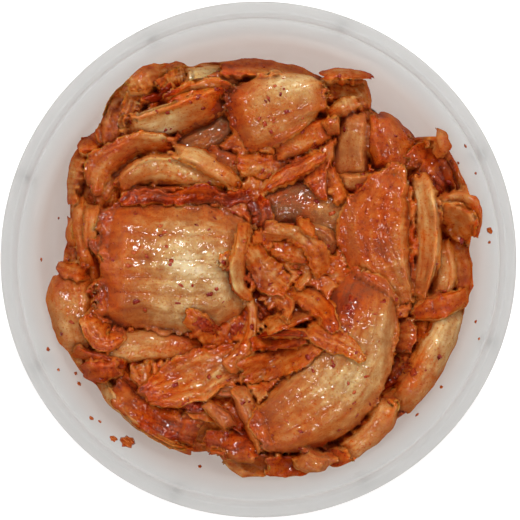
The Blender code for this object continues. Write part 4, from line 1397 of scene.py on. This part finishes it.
def cabbage_material():
    """Pickled cabbage: pale ribs stained orange to red, wet, with fine streaks."""
    s = Shader("kimchi_food_cabbage")
    grain = s.attribute("grain", "Vector")
    place = s.scaled(s.new("ShaderNodeTexCoord").outputs["Object"], (1 / MM,) * 3)
    streaks = s.noise(s.scaled(grain, (0.07, 0.55, 1.0)), detail=3.0, roughness=0.55)
    cloud = s.noise(place, scale=0.11, detail=3.0, roughness=0.55)
    blotch = s.noise(place, scale=0.35, detail=3.0, roughness=0.6)
    powder = s.noise(place, scale=1.3, detail=2.0, roughness=0.7)
    tone = s.attribute("tone")
    tone = s.math("ADD", tone, s.spread(streaks, 0.3, 0.7, -0.06, 0.06))
    tone = s.math("ADD", tone, s.spread(cloud, 0.3, 0.7, -0.1, 0.1))
    tone = s.math("ADD", tone, s.spread(blotch, 0.3, 0.7, -0.08, 0.1))
    tone = s.math("ADD", tone, s.spread(powder, 0.57, 0.7, 0.0, 0.26))
    # Painted shade: the "wet" value makes the gaps between pieces redder, partly for sauce
    # pooled there.
    tone = s.math("MULTIPLY_ADD", s.attribute("wet"), 0.12, tone)
    colour = s.ramp(tone, TONES)
    patches = s.spread(blotch, 0.35, 0.6, 0.35, 1.0)
    dull = s.math("MULTIPLY_ADD", s.attribute("grey"), patches,
                  s.spread(cloud, 0.45, 0.65, 0.0, 0.3))
    colour = s.mix(dull, colour, linear(134, 88, 54))
    s.link(colour, s.shader.inputs["Base Color"])
    gloss = s.noise(place, scale=0.6, detail=2.0)
    s.link(s.spread(gloss, 0.3, 0.7, 0.3, 0.5), s.shader.inputs["Roughness"])
    s.shader.inputs["Specular IOR Level"].default_value = 0.0
    facing = s.new("ShaderNodeLayerWeight").outputs["Facing"]
    s.link(s.spread(facing, 0.08, 0.4, 0.9, 0.15), s.shader.inputs["Coat Weight"])
    s.shader.inputs["Coat Roughness"].default_value = 0.16
    s.shader.inputs["Coat IOR"].default_value = 1.5
    film = s.noise(place, scale=0.55, detail=0.4, roughness=0.4)
    s.link(s.bump(film, 0.7), s.shader.inputs["Coat Normal"])
    s.shader.inputs["Subsurface Weight"].default_value = 0.8
    s.shader.inputs["Subsurface Radius"].default_value = (1.0, 0.6, 0.3)
    s.shader.inputs["Subsurface Scale"].default_value = 4.0 * MM
    ridges = s.bump(streaks, 0.2)
    fine = s.noise(place, scale=1.3, detail=3.0, roughness=0.6)
    s.link(s.bump(fine, 0.4, ridges), s.shader.inputs["Normal"])
    return s.material


def paste_material():
    """Chilli paste: dark red, wet and grainy."""
    s = Shader("kimchi_food_paste")
    grain = s.attribute("grain", "Vector")
    coarse = s.noise(grain, scale=0.9, detail=4.0, roughness=0.65)
    colour = s.ramp(coarse, ((0.3, linear(104, 20, 8)), (0.5, linear(140, 38, 12)),
                             (0.72, linear(184, 76, 24))))
    s.link(colour, s.shader.inputs["Base Color"])
    s.link(s.spread(coarse, 0.3, 0.7, 0.18, 0.4), s.shader.inputs["Roughness"])
    s.link(s.bump(coarse, 0.6), s.shader.inputs["Normal"])
    s.shader.inputs["Specular IOR Level"].default_value = 0.15
    s.shader.inputs["Coat Weight"].default_value = 0.4
    s.shader.inputs["Coat Roughness"].default_value = 0.1
    return s.material


def sauce_material():
    """Thin sauce on the wall: orange, glossy."""
    s = Shader("kimchi_food_sauce")
    grain = s.attribute("grain", "Vector")
    shade = s.noise(grain, scale=0.7, detail=2.0)
    s.link(s.ramp(shade, ((0.35, linear(150, 52, 18)), (0.65, linear(206, 110, 48)))),
           s.shader.inputs["Base Color"])
    s.link(s.spread(shade, 0.3, 0.7, 0.15, 0.3), s.shader.inputs["Roughness"])
    return s.material


def flake_material():
    """Chilli flakes: dark red skin, a little paler here and there."""
    s = Shader("kimchi_food_flake")
    grain = s.attribute("grain", "Vector")
    shade = s.noise(grain, scale=0.8, detail=3.0)
    colour = s.ramp(s.math("ADD", shade, s.attribute("tone")),
                    ((0.35, linear(104, 16, 6)), (0.6, linear(140, 30, 8)),
                     (0.85, linear(180, 76, 20))))
    s.link(colour, s.shader.inputs["Base Color"])
    s.link(s.spread(shade, 0.3, 0.7, 0.2, 0.4), s.shader.inputs["Roughness"])
    s.link(s.bump(shade, 0.2), s.shader.inputs["Normal"])
    return s.material


def plastic_material():
    """Milky plastic, a little see-through, painted darker and pinker towards the bottom as
    painted shade and the red of the food showing through.
    """
    s = Shader("tub_plastic_milky")
    place = s.new("ShaderNodeTexCoord").outputs["Object"]
    cloud = s.noise(place, scale=60.0, detail=3.0)
    height = s.new("ShaderNodeSeparateXYZ")
    s.link(place, height.inputs[0])
    # Painted shade and painted red of the food behind: the wall turns darker and pinker
    # from 64 mm down to 40 mm.
    tint_and_painted_light = s.spread(height.outputs["Z"], 40.0 * MM, 64.0 * MM, 1.0, 0.0)
    tint_and_painted_light = s.math("MULTIPLY", tint_and_painted_light, s.spread(cloud, 0.3, 0.7, 0.8, 1.0))
    colour = s.mix(tint_and_painted_light, linear(227, 227, 226), linear(214, 205, 200))
    s.link(colour, s.shader.inputs["Base Color"])
    s.link(s.spread(cloud, 0.3, 0.7, 0.30, 0.38), s.shader.inputs["Roughness"])
    s.link(s.bump(cloud, 0.05), s.shader.inputs["Normal"])
    s.shader.inputs["Alpha"].default_value = 0.72
    glow = s.new("ShaderNodeBsdfTranslucent")
    s.link(colour, glow.inputs["Color"])
    blend = s.new("ShaderNodeMixShader")
    blend.inputs[0].default_value = 0.85
    s.link(s.shader.outputs[0], blend.inputs[1])
    s.link(glow.outputs[0], blend.inputs[2])
    s.link(blend.outputs[0], s.tree.nodes["Material Output"].inputs["Surface"])
    return s.material


def floor_material():
    s = Shader("floor_white")
    place = s.new("ShaderNodeTexCoord").outputs["Object"]
    cloud = s.noise(place, scale=3.0)
    s.link(s.mix(cloud, (0.93, 0.93, 0.93, 1.0), (0.95, 0.95, 0.95, 1.0)),
           s.shader.inputs["Base Color"])
    s.shader.inputs["Roughness"].default_value = 0.8
    s.shader.inputs["Specular IOR Level"].default_value = 0.1
    s.shader.inputs["Emission Color"].default_value = (1.0, 1.0, 1.0, 1.0)
    s.shader.inputs["Emission Strength"].default_value = 0.25
    return s.material


# ---------------------------------------------------------------- stage

def add_floor():
    bpy.ops.mesh.primitive_plane_add(size=6.0, location=(0.0, 0.0, 0.0))
    floor = bpy.context.object
    floor.name = "floor"
    floor.data.materials.append(floor_material())


def add_light(name, place, size, power):
    light = bpy.data.lights.new(name, "AREA")
    light.shape = "DISK"
    light.size = size
    light.energy = power
    item = bpy.data.objects.new(name, light)
    item.location = place
    aim = mathutils.Vector((0.0, 0.0, 0.04)) - item.location
    item.rotation_euler = aim.to_track_quat("-Z", "Y").to_euler()
    bpy.context.scene.collection.objects.link(item)


def add_camera():
    lens = bpy.data.cameras.new("camera")
    lens.sensor_width = 36.0
    lens.lens = 36.0 * CAMERA_H / VIEW_W
    camera = bpy.data.objects.new("camera", lens)
    camera.location = (0.46 * MM, -0.13 * MM, (HEIGHT + CAMERA_H) * MM)
    bpy.context.scene.collection.objects.link(camera)
    bpy.context.scene.camera = camera


def light_scene():
    scene = bpy.context.scene
    scene.view_settings.view_transform = "Standard"
    world = bpy.data.worlds.new("studio")
    world.use_nodes = True
    sky = world.node_tree.nodes["Background"]
    sky.inputs["Color"].default_value = (1.0, 1.0, 1.0, 1.0)
    sky.inputs["Strength"].default_value = 0.65
    world.cycles_visibility.glossy = False
    scene.world = world
    add_light("key", (0.05, 0.65, 0.9), 0.2, 5.0)
    add_light("left", (-0.8, 0.3, 0.8), 0.2, 2.4)
    add_light("right", (0.8, 0.3, 0.8), 0.2, 2.4)
    add_light("front_left", (-0.45, -0.65, 0.9), 0.2, 1.6)
    add_light("front_right", (0.45, -0.65, 0.9), 0.2, 1.6)


# ---------------------------------------------------------------- build

WALL_SPOTS = (
    (-61, -26, 0.7), (-58, -32, 0.5), (-53, -33, 0.6), (-52, -36, 0.8),
    (-48.5, -46, 0.8), (-46, -47, 0.6), (-42, -52, 1.1), (-38, -53, 2.1),
    (-17, -60, 0.6), (61, 33.5, 0.6), (63, 25, 0.4), (58, 28, 0.5),
    (67, 8.5, 1.1), (67, 5, 0.5), (63, -18, 0.6), (64, -23, 0.4),
    (53, -37, 0.6), (46, -45, 0.7), (-63, 0, 0.6), (-58, 12, 0.5),
)

PASTE = (
    # x, y, half length, half width, turn, height
    (27, -13, 4.0, 2.4, 70, 0.8),
    (24.5, -20, 3.0, 2.0, 30, 0.7),
    (17.5, 33, 3.4, 2.4, 20, 0.7),
    (29, 21, 2.8, 1.8, 10, 0.7),
    (-15, -19, 5.5, 2.6, -30, 0.9),
    (1.5, -22.5, 5.0, 1.4, 0, 0.6),
    (-46, -11, 3.5, 2.0, 80, 0.7),
    (-20, -42, 4.0, 2.0, 10, 0.6),
    # Painted shade: these two patches are dark paste laid into gaps that are dark with
    # shade.
    (-6.8, -20.5, 3.0, 2.4, 60, 0.8),
    (44, -32, 3.6, 1.8, -50, 0.7),
)

FLAKES = (
    (-35, -12, 1.2), (-23, -12.5, 0.8), (-57, -21.5, 1.1), (-46, -36, 1.0),
    (52, -28, 0.9), (12, -49, 0.9), (-26, 42, 0.8), (-27, 37.5, 0.7),
    (-17, 47, 0.9), (-16, 43.5, 0.7), (-13, 43.5, 0.7), (-23, 35, 0.7),
    (6.5, 47.5, 0.7), (2, 45.5, 0.6), (8, 42.5, 0.8), (25, 38, 1.0),
    (55.5, 22.3, 1.0), (59, 5.5, 1.1), (17, 17, 0.9), (-12, 49, 1.0),
    (-9.5, 49, 0.8), (-18, 10, 0.8), (-28, 7, 0.8), (-14, -10, 0.9),
)


def build_food():
    bed = Bed()
    stems, leaves, under = lay_heap(bed)
    core = lay_core(bed)
    cabbage = cabbage_material()
    items = []
    for name, group in (("core", core), ("under_leaves", under), ("stems", stems),
                        ("leaves", leaves)):
        item = build_mesh(name, group, bed)
        item.data.materials.append(cabbage)
        items.append(item)
    bpy.context.view_layer.update()
    solid = list(items)

    # Most patches are paste; two of them are painted shade laid into gaps.
    paste = Group()
    for k, (x, y, half_x, half_y, turn, height) in enumerate(PASTE):
        add_patch(paste, solid, x, y, half_x, half_y, turn, height, 300 + k)
    smear = build_mesh("paste", paste)
    smear.data.materials.append(paste_material())

    rng = np.random.default_rng(77)
    flakes = Group()
    for x, y, size in FLAKES:
        add_flake(flakes, solid, x * SPREAD, y * SPREAD, size * 1.2, rng, 0.0)
    for _ in range(420):
        r = 60.0 * math.sqrt(rng.uniform())
        a = rng.uniform(0.0, math.tau)
        size = 0.2 + 1.1 * rng.uniform() ** 3
        add_flake(flakes, solid, r * math.cos(a), r * math.sin(a), size, rng,
                  rng.uniform(0.0, 0.36))
    chilli = build_mesh("chilli_flakes", flakes)
    chilli.data.materials.append(flake_material())

    spots = Group()
    for x, y, radius in WALL_SPOTS:
        add_spot(spots, x, y, radius, rng)
    drops = build_mesh("wall_spots", spots)
    drops.data.materials.append(sauce_material())
    return items + [smear, chilli, drops]


def main():
    food = build_food()
    for item in food:
        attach(item, "root")
    for item in food[:4]:
        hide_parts("kimchi")
    tub = build_tub()
    tub.data.materials.append(plastic_material())
    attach(tub, "root")
    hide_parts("tub")
    add_floor()
    add_camera()
    light_scene()


main()
